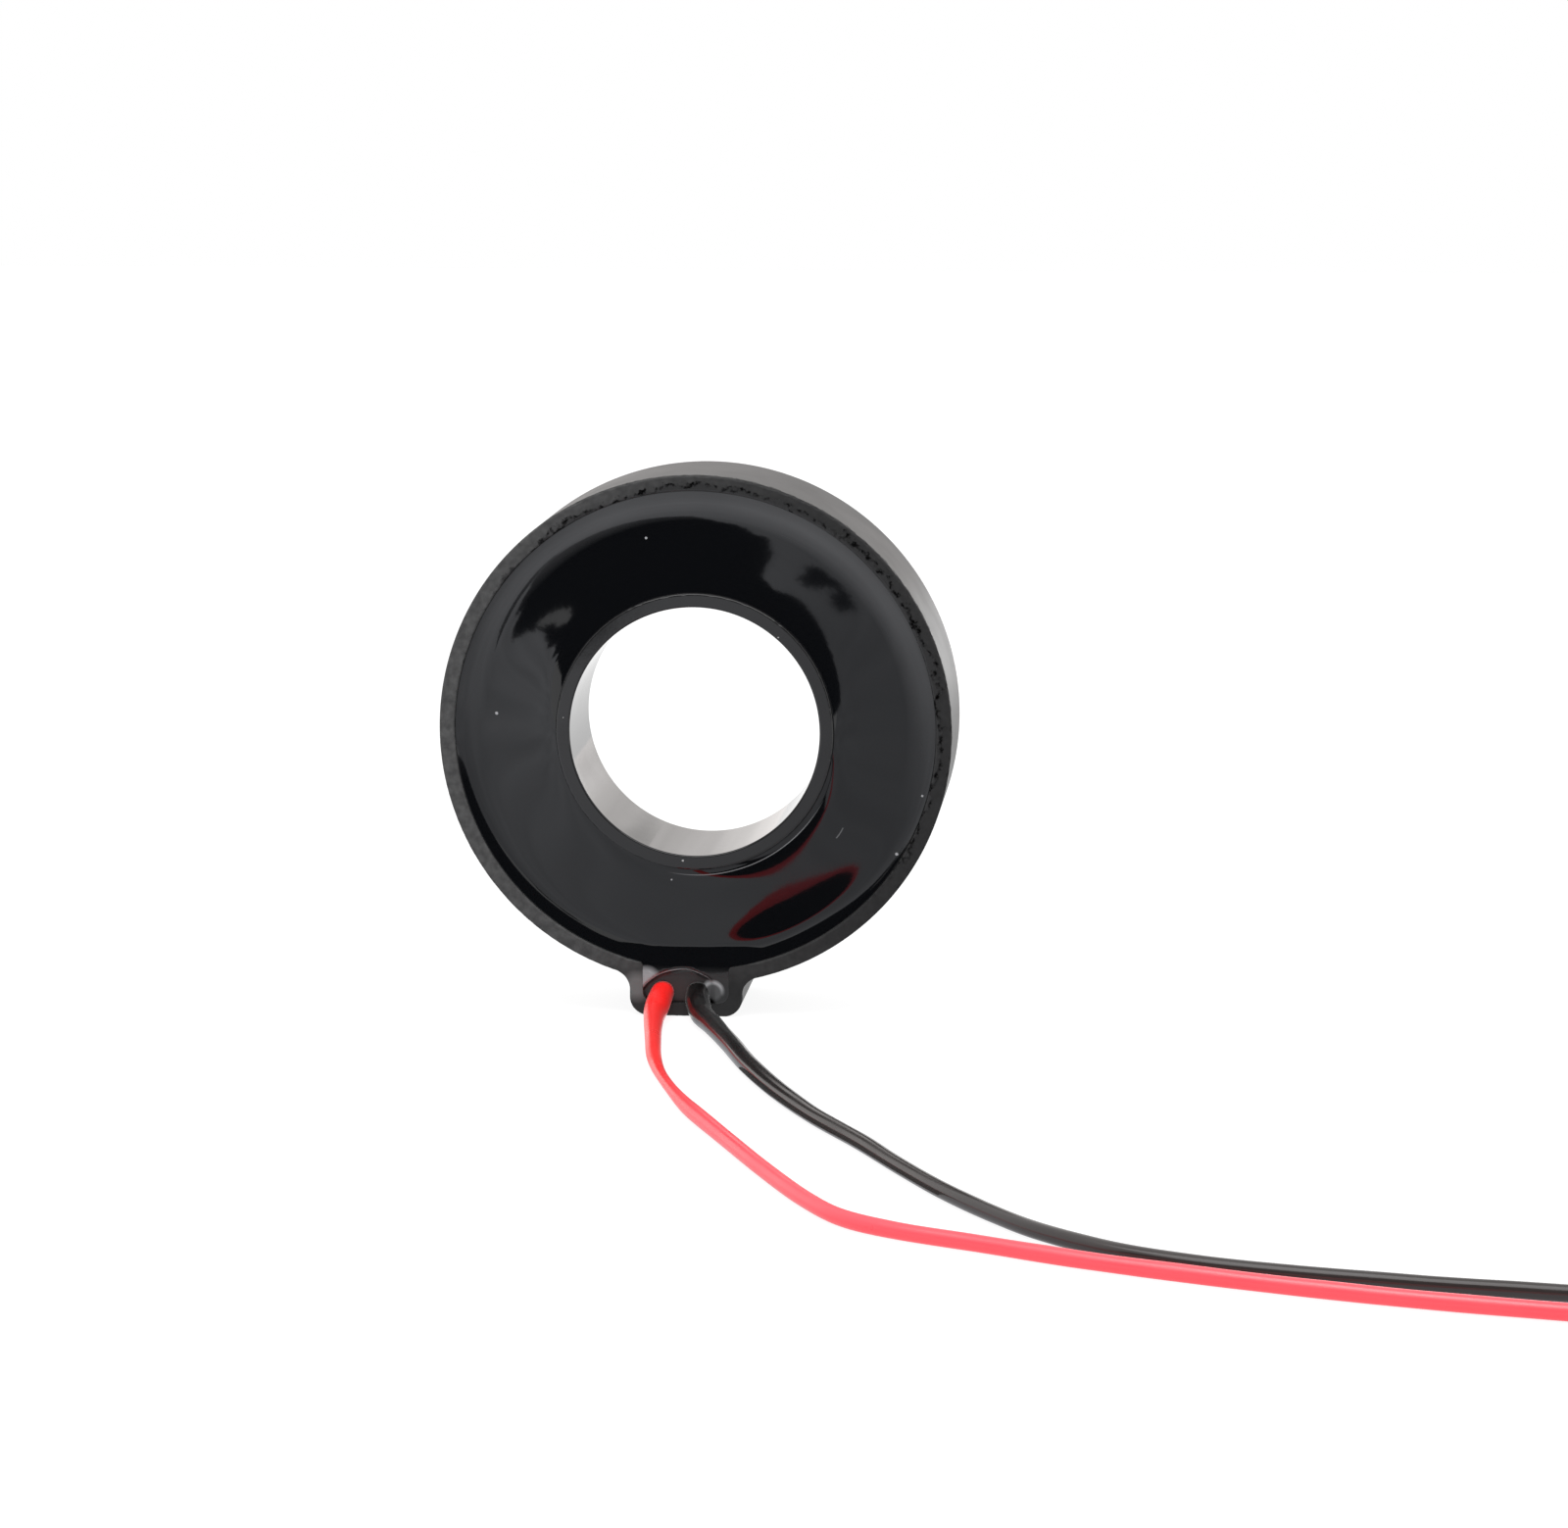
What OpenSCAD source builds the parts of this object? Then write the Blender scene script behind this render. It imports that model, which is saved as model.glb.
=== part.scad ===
/* [Case] */
// Outside diameter of the round case
case_d = 33; // [30:0.5:40]
// Diameter of the hole for the primary conductor
bore_d = 16.1; // [12:0.1:17]
// Depth of the case along the hole
case_t = 9.5; // [9:0.25:14]
// Thickness of the outer wall
wall_t = 1; // [0.7:0.1:1.4]
// Thickness of the tube round the hole
tube_t = 0.9; // [0.7:0.1:1.1]
// Thickness of the closed back
back_t = 1; // [0.7:0.1:1.2]
// Chamfer on the two edges of the closed back
back_chamfer = 0.35; // [0.1:0.05:0.5]

/* [Lead lug] */
// Width of the lug that the leads come out of
lug_w = 7.3; // [6.5:0.1:8.5]
// How far the lug stands out past the round case
lug_h = 2.1; // [1.8:0.1:3]
// How far the lug's middle lies to the left of the hole's axis
lug_shift = 0.6; // [0:0.1:1]
// Thickness of the lug's walls
lug_wall = 0.85; // [0.6:0.05:1]
// Radius of the lug's two outer corners
lug_corner_r = 1.2; // [0.6:0.1:1.5]
// Radius of the fillets between the lug and the round case
lug_fillet_r = 0.9; // [0.4:0.1:1.2]

/* [Potting] */
// How far the resin's lowest ring lies below the rim
fill_drop = 0.5; // [0.4:0.05:0.8]
// How far the resin climbs at the walls
meniscus_h = 0.22; // [0.1:0.02:0.3]
// Radius of the hollow in the resin where the leads come out
well_r = 2.65; // [2.2:0.05:2.8]
// Depth of that hollow
well_drop = 0.6; // [0.4:0.05:0.8]

/* [Core and windings] */
// Resin between the wound core and the case's walls
wall_gap = 0.4; // [0.2:0.05:0.6]
// Thickness of the tape under the winding
core_tape_t = 0.15; // [0.1:0.05:0.2]
// Build of the winding on each side of the core
winding_t = 0.75; // [0.5:0.05:0.9]
// Thickness of the tape over the winding
outer_tape_t = 0.12; // [0.08:0.02:0.16]
// Height of the ribs on the case's back that the wound core sits on
rib_h = 0.3; // [0.2:0.05:0.5]
// Width of those ribs
rib_w = 1.2; // [0.8:0.1:2]
// Number of ribs
rib_count = 6; // [3:1:8]
// Diameter of the winding's enamelled wire
magnet_wire_d = 0.2; // [0.15:0.05:0.3]

/* [Leads] */
// Outside diameter of the leads' insulation
lead_d = 0.95; // [0.8:0.05:1]
// Diameter of the leads' stranded conductor
strand_d = 0.5; // [0.3:0.05:0.6]
// Middle of the red lead, left of the hole's axis
red_x = -2.15; // [-2.4:0.05:-1.9]
// Middle of the black lead
black_x = 0.15; // [-0.1:0.05:0.4]
// Length of bare, tinned conductor at each lead's far end
tip_len = 5; // [3:0.5:8]
// Outside diameter of the sleeves over the soldered joints
sleeve_d = 1.2; // [1.1:0.05:1.3]
// Wall of those sleeves
sleeve_wall = 0.15; // [0.1:0.05:0.2]
// Length of the sleeves
sleeve_len = 3.4; // [2.6:0.1:3.6]
// Resin over the sleeves
sleeve_cover = 0.18; // [0.1:0.02:0.3]
// Resin between a lead and the wound core that it lies on
tail_gap = 0.08; // [0.05:0.01:0.15]
// Radius of each lead's bend at the outlet, to its middle
bend_r = 1; // [0.9:0.05:1.2]
// Radius of the turn that each wire end makes into the winding
wire_turn_r = 0.3; // [0.2:0.05:0.4]
// How far the resin creeps along each lead at the outlet
collar_h = 0.45; // [0.2:0.05:0.6]
// How thick that creeping resin is at its root
collar_t = 0.3; // [0.1:0.05:0.4]

/* [Hidden] */
$fn = 96;
// how far a cut runs past the face that it opens
over = 1;
// how far shapes that would only touch run into each other
bite = 0.01;

case_r = case_d / 2;
bore_r = bore_d / 2;
front_y = -case_t / 2;
back_y = case_t / 2;
floor_z = -case_r - lug_h;
lug_x = -lug_shift;

// the annular space between the walls
cavity_r0 = bore_r + tube_t;
cavity_r1 = case_r - wall_t;
cavity_mid = (cavity_r0 + cavity_r1) / 2;
cavity_half = (cavity_r1 - cavity_r0) / 2;
pocket_z = floor_z + lug_wall;
pocket_corner_r = 0.6 * lug_corner_r;

// the resin's surface: its lowest ring, its height at the walls and the hollow's bottom
fill_y = front_y + fill_drop;
dish_r = (cavity_half * cavity_half + meniscus_h * meniscus_h) / (2 * meniscus_h);
well_y = fill_y + well_drop;
well_z = floor_z + lug_wall / 2;

// the wound core, from the ribs on the case's back to the leads that lie on its front
cover_t = winding_t + outer_tape_t + core_tape_t;
sleeve_y = fill_y + sleeve_cover + sleeve_d / 2;
wound_y0 = sleeve_y + sleeve_d / 2 + tail_gap;
wound_y1 = back_y - back_t - rib_h;
wound_r0 = cavity_r0 + wall_gap;
wound_r1 = cavity_r1 - wall_gap;

// the leads' buried ends: they lie on the wound core's front, then bend out of the lug
bend_deg = 70;
bend_drop = 0.2;
splice_lap = 0.6;
sleeve_shift = 0.55;
wire_turn_z = -wound_r0 - outer_tape_t - magnet_wire_d;
sleeve_z0 = -cavity_mid - sleeve_shift - sleeve_len / 2;
sleeve_z1 = sleeve_z0 + sleeve_len;
tail_z0 = sleeve_z0 + splice_lap;
tail_bend_z = -cavity_r1 - bend_drop;
exit_y = sleeve_y - bend_r * (1 - cos(bend_deg));
exit_z = tail_bend_z - bend_r * sin(bend_deg);
// the direction in which the leads leave
exit_dir = [0, -sin(bend_deg), -cos(bend_deg)];
splice_d = sleeve_d - 2 * sleeve_wall;
collar_edge = 0.04;

// how the leads lie: hand-chosen points on the ground in front of the lug
lead_z = floor_z + lead_d / 2;
red_route = [
    [red_x, exit_y, exit_z], [-2.25, -5.4, -17.1], [-2.3, -7.4, -17.8], [-2.1, -9.8, lead_z],
    [-1.6, -14, lead_z], [-0.9, -19, lead_z], [0.3, -24.2, lead_z], [2.5, -31, lead_z],
    [5.3, -37.8, lead_z], [8.6, -45.6, lead_z], [11.3, -51.4, lead_z], [13.7, -55.2, lead_z],
    [16.8, -57.5, lead_z], [21.2, -59.6, lead_z], [26.8, -62.3, lead_z], [32.4, -64.5, lead_z],
    [38, -66.4, lead_z], [43.6, -68, lead_z], [49, -69.2, lead_z], [53.2, -70, lead_z]];
black_route = [
    [black_x, exit_y, exit_z], [0.25, -5.4, -17.1], [0.8, -7.6, -17.8], [1.7, -10, lead_z],
    [3.3, -14.8, lead_z], [5.1, -20.6, lead_z], [7.4, -26.7, lead_z], [10.2, -32.8, lead_z],
    [13.3, -38.5, lead_z], [16.2, -44.3, lead_z], [18.9, -49.3, lead_z], [21.7, -53.6, lead_z],
    [24.4, -57, lead_z], [28.2, -60.2, lead_z], [32.8, -62.5, lead_z], [38, -64, lead_z],
    [43.4, -65.1, lead_z], [48.8, -65.9, lead_z], [54.4, -66.6, lead_z], [60.4, -67.2, lead_z]];
tube_sides = 8;

// a shape drawn in front view, x to the right and y up, made solid from y0 to y1
module front_extrude(y0, y1) {
    translate([0, y1, 0]) rotate([90, 0, 0]) linear_extrude(height = y1 - y0) children();
}

// turns a shape made round Z so that it lies round the hole's axis, Z becoming Y
module on_bore() {
    rotate([-90, 0, 0]) children();
}

// a disc or cylinder round the hole's axis, from y0 to y1
module bore_cylinder(r, y0, y1) {
    translate([0, y0, 0]) on_bore() cylinder(r = r, h = y1 - y0);
}

// a block with its two lower corners rounded
module lug_block_2d(half_w, bottom, corner) {
    top = -cavity_r0 - cavity_half;
    translate([lug_x - half_w, bottom + corner]) square([2 * half_w, top - bottom - corner]);
    translate([lug_x - half_w + corner, bottom]) square([2 * (half_w - corner), corner + bite]);
    for (side = [-1, 1])
        translate([lug_x + side * (half_w - corner), bottom + corner]) circle(r = corner);
}

// the concave blend between the round case and a lug side that lies edge_x from the axis
module lug_fillet_2d(edge_x) {
    centre_x = edge_x + lug_fillet_r - bite;
    reach = case_r + lug_fillet_r - bite;
    centre_z = -sqrt(reach * reach - centre_x * centre_x);
    inside = (case_r - wall_t / 2) / reach;
    difference() {
        polygon([[edge_x - lug_wall / 2, centre_z], [centre_x, centre_z],
                 [centre_x * inside, centre_z * inside], [edge_x - lug_wall / 2, -case_r + wall_t]]);
        translate([centre_x, centre_z]) circle(r = lug_fillet_r);
    }
}

module case_outline_2d() {
    circle(r = case_r);
    lug_block_2d(lug_w / 2, floor_z, lug_corner_r);
    lug_fillet_2d(lug_w / 2 - lug_shift);
    mirror([1, 0]) lug_fillet_2d(lug_w / 2 + lug_shift);
}

module cavity_2d() {
    difference() {
        union() {
            circle(r = cavity_r1);
            lug_block_2d(lug_w / 2 - lug_wall, pocket_z, pocket_corner_r);
        }
        circle(r = cavity_r0);
    }
}

// what the chamfer takes off the round edge of the back, short of the lug
module back_edge_cut() {
    guard_w = lug_w + 2 * lug_fillet_r;
    difference() {
        bore_cylinder(case_r + over, back_y - back_chamfer, back_y + over);
        translate([0, back_y - back_chamfer, 0]) on_bore()
            cylinder(r1 = case_r, r2 = case_r - back_chamfer - over, h = back_chamfer + over);
        translate([lug_x - guard_w / 2, 0, floor_z - over])
            cube([guard_w, case_t, case_r - cavity_r0 + lug_h]);
    }
}

// radial ribs on the inside of the back, taken further inwards by reach
module ribs(reach = 0) {
    for (i = [0 : rib_count - 1])
        rotate([0, i * 360 / rib_count, 0])
            translate([cavity_r0 - bite, back_y - back_t - rib_h - reach, -rib_w / 2])
                cube([2 * cavity_half + 2 * bite, rib_h + reach + bite, rib_w]);
}

module case() {
    color([0.09, 0.09, 0.1])
    union() {
        difference() {
            front_extrude(front_y, back_y) case_outline_2d();
            front_extrude(front_y - over, back_y - back_t) cavity_2d();
            bore_cylinder(bore_r, front_y - over, back_y + over);
            translate([0, back_y - back_chamfer, 0]) on_bore()
                cylinder(r1 = bore_r, r2 = bore_r + back_chamfer + over, h = back_chamfer + over);
            back_edge_cut();
        }
        ribs();
    }
}

// half section of the resin ring: its face is dished, so it climbs at both walls
module fill_section() {
    difference() {
        translate([cavity_r0, fill_y - meniscus_h])
            square([2 * cavity_half, back_y - back_t - fill_y + meniscus_h]);
        translate([cavity_mid, fill_y - dish_r]) circle(r = dish_r, $fn = 360);
    }
}

// everything that the resin closes round
module embedded() {
    ribs(bite);
    on_bore() rotate_extrude() wound_section(0);
    for (x = [red_x, black_x]) {
        lead_tail(x);
        translate([x, sleeve_y, sleeve_z0]) cylinder(d = sleeve_d, h = sleeve_len);
        wire_end(x, bite);
    }
}

// resin in the lug, open to the ring of resin, with the hollow that the leads leave from
module lug_fill() {
    difference() {
        front_extrude(fill_y - meniscus_h / 2, back_y - back_t)
            lug_block_2d(lug_w / 2 - lug_wall, pocket_z, pocket_corner_r);
        bore_cylinder(cavity_r1 - wall_gap, front_y, back_y);
    }
}

module well() {
    translate([(red_x + black_x) / 2, front_y, well_z]) on_bore()
        cylinder(r = well_r, h = well_y - front_y);
}

// the resin that has crept along a lead, thinning out just short of the outlet's face
module collar(x) {
    root = collar_h + well_drop;
    translate([x, exit_y, exit_z] - root * exit_dir) rotate([180 - bend_deg, 0, 0])
        cylinder(r1 = lead_d / 2 + collar_t, r2 = lead_d / 2 + collar_edge, h = root - bite);
}

module potting() {
    color([0.16, 0.16, 0.17])
    difference() {
        union() {
            difference() {
                union() {
                    on_bore() rotate_extrude() fill_section();
                    lug_fill();
                }
                well();
            }
            for (x = [red_x, black_x]) collar(x);
        }
        embedded();
    }
}

// half section of the wound core, taken in from its outside by inset
module wound_section(inset) {
    translate([wound_r0 + inset, wound_y0 + inset])
        square([wound_r1 - wound_r0 - 2 * inset, wound_y1 - wound_y0 - 2 * inset]);
}

module shell(outer_inset, inner_inset) {
    on_bore() rotate_extrude() difference() {
        wound_section(outer_inset);
        wound_section(inner_inset);
    }
}

module core() {
    color([0.62, 0.63, 0.66]) on_bore() rotate_extrude() wound_section(cover_t);
}

module core_tape() {
    color([0.9, 0.85, 0.55]) shell(outer_tape_t + winding_t, cover_t);
}

module winding() {
    color([0.72, 0.36, 0.14]) shell(outer_tape_t, outer_tape_t + winding_t);
}

// the outer tape has a pinhole for each end of the winding
module winding_tape() {
    color([0.93, 0.8, 0.2])
    difference() {
        shell(0, outer_tape_t);
        for (x = [red_x, black_x]) wire_end(x, bite);
    }
}

// enamelled wire from the winding's face, round a small turn, into the soldered joint; both
// of its ends go further by reach
module wire_end(x, reach = 0) {
    straight_z = wire_turn_z - wire_turn_r;
    turned_y = sleeve_y + wire_turn_r;
    translate([x, sleeve_y, sleeve_z1 - reach])
        cylinder(d = magnet_wire_d, h = straight_z - sleeve_z1 + reach, $fn = 24);
    translate([x, turned_y, straight_z]) rotate([0, -90, 0]) rotate([0, 0, -90])
        rotate_extrude(angle = 90) translate([wire_turn_r, 0]) circle(d = magnet_wire_d, $fn = 24);
    translate([x, turned_y, wire_turn_z]) on_bore()
        cylinder(d = magnet_wire_d, h = wound_y0 + outer_tape_t + reach - turned_y, $fn = 24);
}

module start_wire() {
    color([0.75, 0.3, 0.1]) wire_end(red_x);
}

module finish_wire() {
    color([0.75, 0.3, 0.1]) wire_end(black_x);
}

// stripped strands and the enamelled wire, soldered together inside the sleeve
module splice(x) {
    color([0.8, 0.8, 0.82])
        translate([x, sleeve_y, tail_z0]) cylinder(d = splice_d, h = sleeve_z1 - tail_z0);
}

module red_splice() { splice(red_x); }

module black_splice() { splice(black_x); }

// the sleeve is open at the lead's end and shrunk onto both the lead and the joint
module sleeve(x) {
    difference() {
        translate([x, sleeve_y, sleeve_z0]) cylinder(d = sleeve_d, h = sleeve_len);
        translate([x, sleeve_y, sleeve_z0 - over])
            cylinder(d = lead_d, h = splice_lap + over);
        translate([x, sleeve_y, tail_z0]) cylinder(d = splice_d, h = sleeve_len);
    }
}

module red_sleeve() { color([0.75, 0.08, 0.06]) sleeve(red_x); }

module black_sleeve() { color([0.07, 0.07, 0.07]) sleeve(black_x); }

// the buried end of a lead: straight down over the wound core, then a bend to the outlet
module lead_tail(x) {
    translate([x, sleeve_y, tail_bend_z]) cylinder(d = lead_d, h = tail_z0 - tail_bend_z);
    translate([x, sleeve_y - bend_r, tail_bend_z]) rotate([0, 90, 0]) rotate([0, 0, 90 - bend_deg])
        rotate_extrude(angle = bend_deg) translate([bend_r, 0]) circle(d = lead_d, $fn = 48);
}

module red_tail() { color([0.93, 0.1, 0.09]) lead_tail(red_x); }

module black_tail() { color([0.1, 0.1, 0.1]) lead_tail(black_x); }

function unit(v) = v / norm(v);

// the point half way along one span of a smooth curve through the route
function span_middle(p, i) =
    let (a = i > 0 ? p[i - 1] : 2 * p[0] - p[1],
         d = i + 2 < len(p) ? p[i + 2] : 2 * p[i + 1] - p[i])
    (9 * (p[i] + p[i + 1]) - a - d) / 16;

function smooth_route(p) = concat(
    [for (i = [0 : len(p) - 2]) each [p[i], span_middle(p, i)]], [p[len(p) - 1]]);

function along(p, i) =
    i == 0 ? exit_dir
    : i == len(p) - 1 ? unit([p[i].x - p[i - 1].x, p[i].y - p[i - 1].y, 0])
    : unit(p[i + 1] - p[i - 1]);

// one ring of the tube, with a flat of it facing down
function tube_ring(p, i) =
    let (t = along(p, i), side = unit(cross(t, [0, 0, 1])), top = cross(side, t))
    [for (k = [0 : tube_sides - 1])
        let (a = 360 * (k + 0.5) / tube_sides)
        p[i] + lead_d / 2 * (side * cos(a) + top * sin(a))];

module tube(route) {
    p = smooth_route(route);
    n = len(p);
    points = [for (i = [0 : n - 1]) each tube_ring(p, i)];
    sides = [for (i = [0 : n - 2], k = [0 : tube_sides - 1])
        let (a = i * tube_sides + k, b = i * tube_sides + (k + 1) % tube_sides)
        each [[a, b, b + tube_sides], [a, b + tube_sides, a + tube_sides]]];
    first = [for (k = [0 : tube_sides - 1]) tube_sides - 1 - k];
    last = [for (k = [0 : tube_sides - 1]) (n - 1) * tube_sides + k];
    polyhedron(points = points, faces = concat([first], sides, [last]), convexity = 6);
}

module red_lead() { color([0.93, 0.16, 0.16]) tube(red_route); }

module black_lead() { color([0.12, 0.12, 0.12]) tube(black_route); }

// the stripped end of a lead: tinned strands in line with its last stretch
module tip(route) {
    n = len(route);
    p = smooth_route(route);
    dir = along(p, len(p) - 1);
    translate(route[n - 1]) rotate([0, 90, atan2(dir.y, dir.x)]) cylinder(d = strand_d, h = tip_len);
}

module red_tip() { color([0.8, 0.8, 0.8]) tip(red_route); }

module black_tip() { color([0.8, 0.8, 0.8]) tip(black_route); }

case();
potting();
core();
core_tape();
winding();
winding_tape();
start_wire();
finish_wire();
red_splice();
black_splice();
red_sleeve();
black_sleeve();
red_tail();
black_tail();
red_lead();
black_lead();
red_tip();
black_tip();
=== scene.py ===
"""Dresses a potted ring current transformer: moulded cup, poured resin and two leads."""

import math
from functools import cache, cached_property, reduce

import bpy
import numpy as np
from bpy.props import FloatProperty, FloatVectorProperty, IntProperty, PointerProperty
from mathutils import Matrix, Vector


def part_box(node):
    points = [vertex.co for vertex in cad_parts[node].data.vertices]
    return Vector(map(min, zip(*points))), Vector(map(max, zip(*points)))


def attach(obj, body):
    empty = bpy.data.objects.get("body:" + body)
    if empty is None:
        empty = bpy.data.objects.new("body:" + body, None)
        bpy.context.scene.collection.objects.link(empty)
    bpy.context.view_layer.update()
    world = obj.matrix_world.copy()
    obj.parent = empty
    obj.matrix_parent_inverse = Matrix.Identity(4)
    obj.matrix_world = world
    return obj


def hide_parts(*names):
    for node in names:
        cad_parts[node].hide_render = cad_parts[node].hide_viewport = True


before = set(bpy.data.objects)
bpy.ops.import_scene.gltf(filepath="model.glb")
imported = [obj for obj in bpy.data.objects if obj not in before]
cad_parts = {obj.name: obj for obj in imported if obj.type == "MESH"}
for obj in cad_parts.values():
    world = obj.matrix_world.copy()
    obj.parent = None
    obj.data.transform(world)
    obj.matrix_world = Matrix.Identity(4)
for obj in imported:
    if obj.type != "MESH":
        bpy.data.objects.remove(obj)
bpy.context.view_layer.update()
CASE_LOW, CASE_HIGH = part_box("case")

bl_info = {
    "name": "Potted current transformer",
    "version": (1, 0, 0),
    "blender": (4, 5, 0),
    "location": "3D View > Sidebar > Transformer",
    "description": "Builds a potted ring current transformer with its two leads",
    "category": "Add Mesh",
}

# Sizes are in metres, apart from those that a comment gives in millimetres.
MM = 0.001

# Where the leads lie: given points on the ground in front of the lug, in millimetres.
LEAD_Z = -18.125
RED_ROUTE = [
    (-2.15, -4.128, -16.64), (-2.25, -5.4, -17.1), (-2.3, -7.4, -17.8), (-2.1, -9.8, LEAD_Z),
    (-1.6, -14, LEAD_Z), (-0.9, -19, LEAD_Z), (0.3, -24.2, LEAD_Z), (2.5, -31, LEAD_Z),
    (5.3, -37.8, LEAD_Z), (8.6, -45.6, LEAD_Z), (11.3, -51.4, LEAD_Z), (13.7, -55.2, LEAD_Z),
    (16.8, -57.5, LEAD_Z), (21.2, -59.6, LEAD_Z), (26.8, -62.3, LEAD_Z), (32.4, -64.5, LEAD_Z),
    (38, -66.4, LEAD_Z), (43.6, -68, LEAD_Z), (49, -69.2, LEAD_Z), (53.2, -70, LEAD_Z)]
BLACK_ROUTE = [
    (0.15, -4.128, -16.64), (0.25, -5.4, -17.1), (0.8, -7.6, -17.8), (1.7, -10, LEAD_Z),
    (3.3, -14.8, LEAD_Z), (5.1, -20.6, LEAD_Z), (7.4, -26.7, LEAD_Z), (10.2, -32.8, LEAD_Z),
    (13.3, -38.5, LEAD_Z), (16.2, -44.3, LEAD_Z), (18.9, -49.3, LEAD_Z), (21.7, -53.6, LEAD_Z),
    (24.4, -57, LEAD_Z), (28.2, -60.2, LEAD_Z), (32.8, -62.5, LEAD_Z), (38, -64, LEAD_Z),
    (43.4, -65.1, LEAD_Z), (48.8, -65.9, LEAD_Z), (54.4, -66.6, LEAD_Z), (60.4, -67.2, LEAD_Z)]

# Each lead's width at lengths along it, in millimetres: swollen near the resin, the red one
# nipped further on, then even.
RED_WIDTHS = [(0, 1.5), (2.4, 1.62), (4, 1.34), (6, 1.2), (8, 1.1), (11, 1.02), (14, 0.96),
              (17, 0.8), (20, 0.7), (23, 0.7), (26, 0.86), (29, 1.0), (34, 0.97), (40, 0.95)]
BLACK_WIDTHS = [(0, 1.5), (2, 1.6), (4, 1.45), (8, 1.28), (14, 1.25), (20, 1.2), (26, 1.12),
                (32, 1.04), (40, 0.97), (46, 0.95)]

# How finely a lead is made. Its slow swellings: their length, their share of its width, and
# how far along it they are whole. Last, how far along it the droop reaches.
LEAD_STEP, LEAD_SIDES = 0.0003, 24
SWELLING_SIZE, SWELLING, SWELLING_START = 0.006, 0.015, 0.01
DROOP_REACH = 0.0028

# A lead's buried end runs straight down at one depth, then bends forwards out of the resin.
TAIL_Y, TAIL_TOP, TAIL_BOTTOM = -0.00347, -0.01387, -0.0157
BEND_R, BEND_ANGLE = 0.001, math.radians(70)

# The bare strands past the insulation.
TIP_LENGTH, TIP_TURNS, TIP_STEPS, STRAND_SIDES = 0.00498, 1.1, 60, 10

# The climb at the outer wall and how far it reaches, in millimetres, at eight places
# evenly round the ring from the right, anticlockwise.
WALL_CLIMB = (0.08, 0.12, 0.22, 0.18, 0.3, 0.35, 0.3, 0.14)
WALL_CREEP = (0.5, 0.5, 0.6, 0.5, 0.9, 1.0, 0.6, 0.45)

# The trough in the resin's face: its middle and half its width from the axis, and its
# middle and half its length round it.
TROUGH_AT, TROUGH_HALF = 0.0142, 0.0009
TROUGH_ANGLE, TROUGH_SPREAD = math.radians(-59), math.radians(15)

# Where the resin rises to the rim in the lug: the height where that starts and how far down
# it takes, then half the width that it ends at and how far in from there it takes. The last
# is how far it stays below the rim.
RISE_TOP, RISE_DOWN = -0.0139, 0.0021
RISE_HALF, RISE_IN = 0.0052, 0.0016
RIM_GAP = 0.000008

# The hollow's edge: its softness, the size and height of its waves, and where it ends on the
# right. Then the radius of the drop in it.
HOLLOW_SOFT, HOLLOW_WAVE_SIZE, HOLLOW_WAVES = 0.00034, 0.0012, 0.00003
HOLLOW_RIGHT, HOLLOW_RIGHT_SOFT = 0.00135, 0.0004
BEAD_R = 0.0008

# Rings across the resin's face.
FACE_RINGS = 74

# Middles of round forms and marks at the lug, in millimetres right of the axis and above it:
# the hollow that the leads come out of, the drop of resin in it, the pale patches on the resin
# and on the rim, and the painted red reflection between the leads.
HOLLOW_AT = (-0.9, -18.75)
BEAD_AT = (1.15, -16.95)
RESIN_PALE_PATCH_AT = (-3.2, -16.4)
RIM_PALE_PATCH_AT = (-3.8, -16.7)
RED_SHINE_AT = (-0.9, -17.2)

# How ragged the rims' edges are, as a share of the flash, each with the seed of its waves.
RAGGED = {"outer": (1.0, 16), "cavity": (0.2, 17), "tube": (0.2, 15)}
RAG_SIZE = 0.0006

# Rings this close beside an edge keep its shading crisp, and a little further off beside
# the chamfer. On the outer wall they lie closer together next to the front, with the last of
# the close ones and the first of the others this far from it.
BESIDE, BESIDE_CHAMFER = 0.00002, 0.00003
FINE_WALL, FINE_WALL_NEXT = 0.0006, 0.0008
TINY = 1e-6

# The lug's block ends at this height, inside the ring. The fillet is between the lug's pocket
# and the round cavity.
BLOCK_TOP = -0.01
POCKET_FILLET = 0.0002

# Degrees from the lug's middle: where the round wall's chamfer starts and how soon it is
# whole, and the same for the cavity's rounded edge.
CHAMFER_FROM, CHAMFER_WITHIN = 17.2, 0.6
ROUNDED_FROM, ROUNDED_WITHIN = 12.5, 2

# How far the fine unevenness of a surface stands out.
GRAIN_DEPTH = 0.00002

# The camera, with its turn to the right and its lift, and the soft box.
CAMERA_AT = (0.03302, -0.29454, 0.0468)
CAMERA_TURN, CAMERA_LIFT = math.radians(5.37), math.radians(9.51)
CAMERA_LENS, CAMERA_SENSOR = 105.921, 36
LAMP_AT, LAMP_SIZE = (-0.02, -0.1, 0.22), 0.12

# What the stage's cards share, and the shader's strength on one that fades.
CARD = {"Roughness": 1.0, "Base_Color": (0, 0, 0, 1), "Specular_IOR_Level": 0}
FULL_GLOW = 2

# The ground, and the large dark card: its depth, its top, and its lower edge from left to
# right, in millimetres.
GROUND = -18.6
DARK_CARD_Y, DARK_CARD_TOP = -194, 150
DARK_CARD_EDGE = [
    (-250, 8), (-104, -0.5), (-58, -11.5), (-48, -14.4), (-44.5, GROUND), (-31, GROUND),
    (-30, -17.3), (-27.4, -14.4), (-23, -12.1), (-17.4, -8.4), (-13.4, -7.9), (-9.5, -4.1),
    (-7.9, 0.3), (-3.8, 1.1), (-1.3, -3.6), (9.2, -8.7), (24.8, -15.6), (35, GROUND),
    (200, GROUND)]


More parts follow.
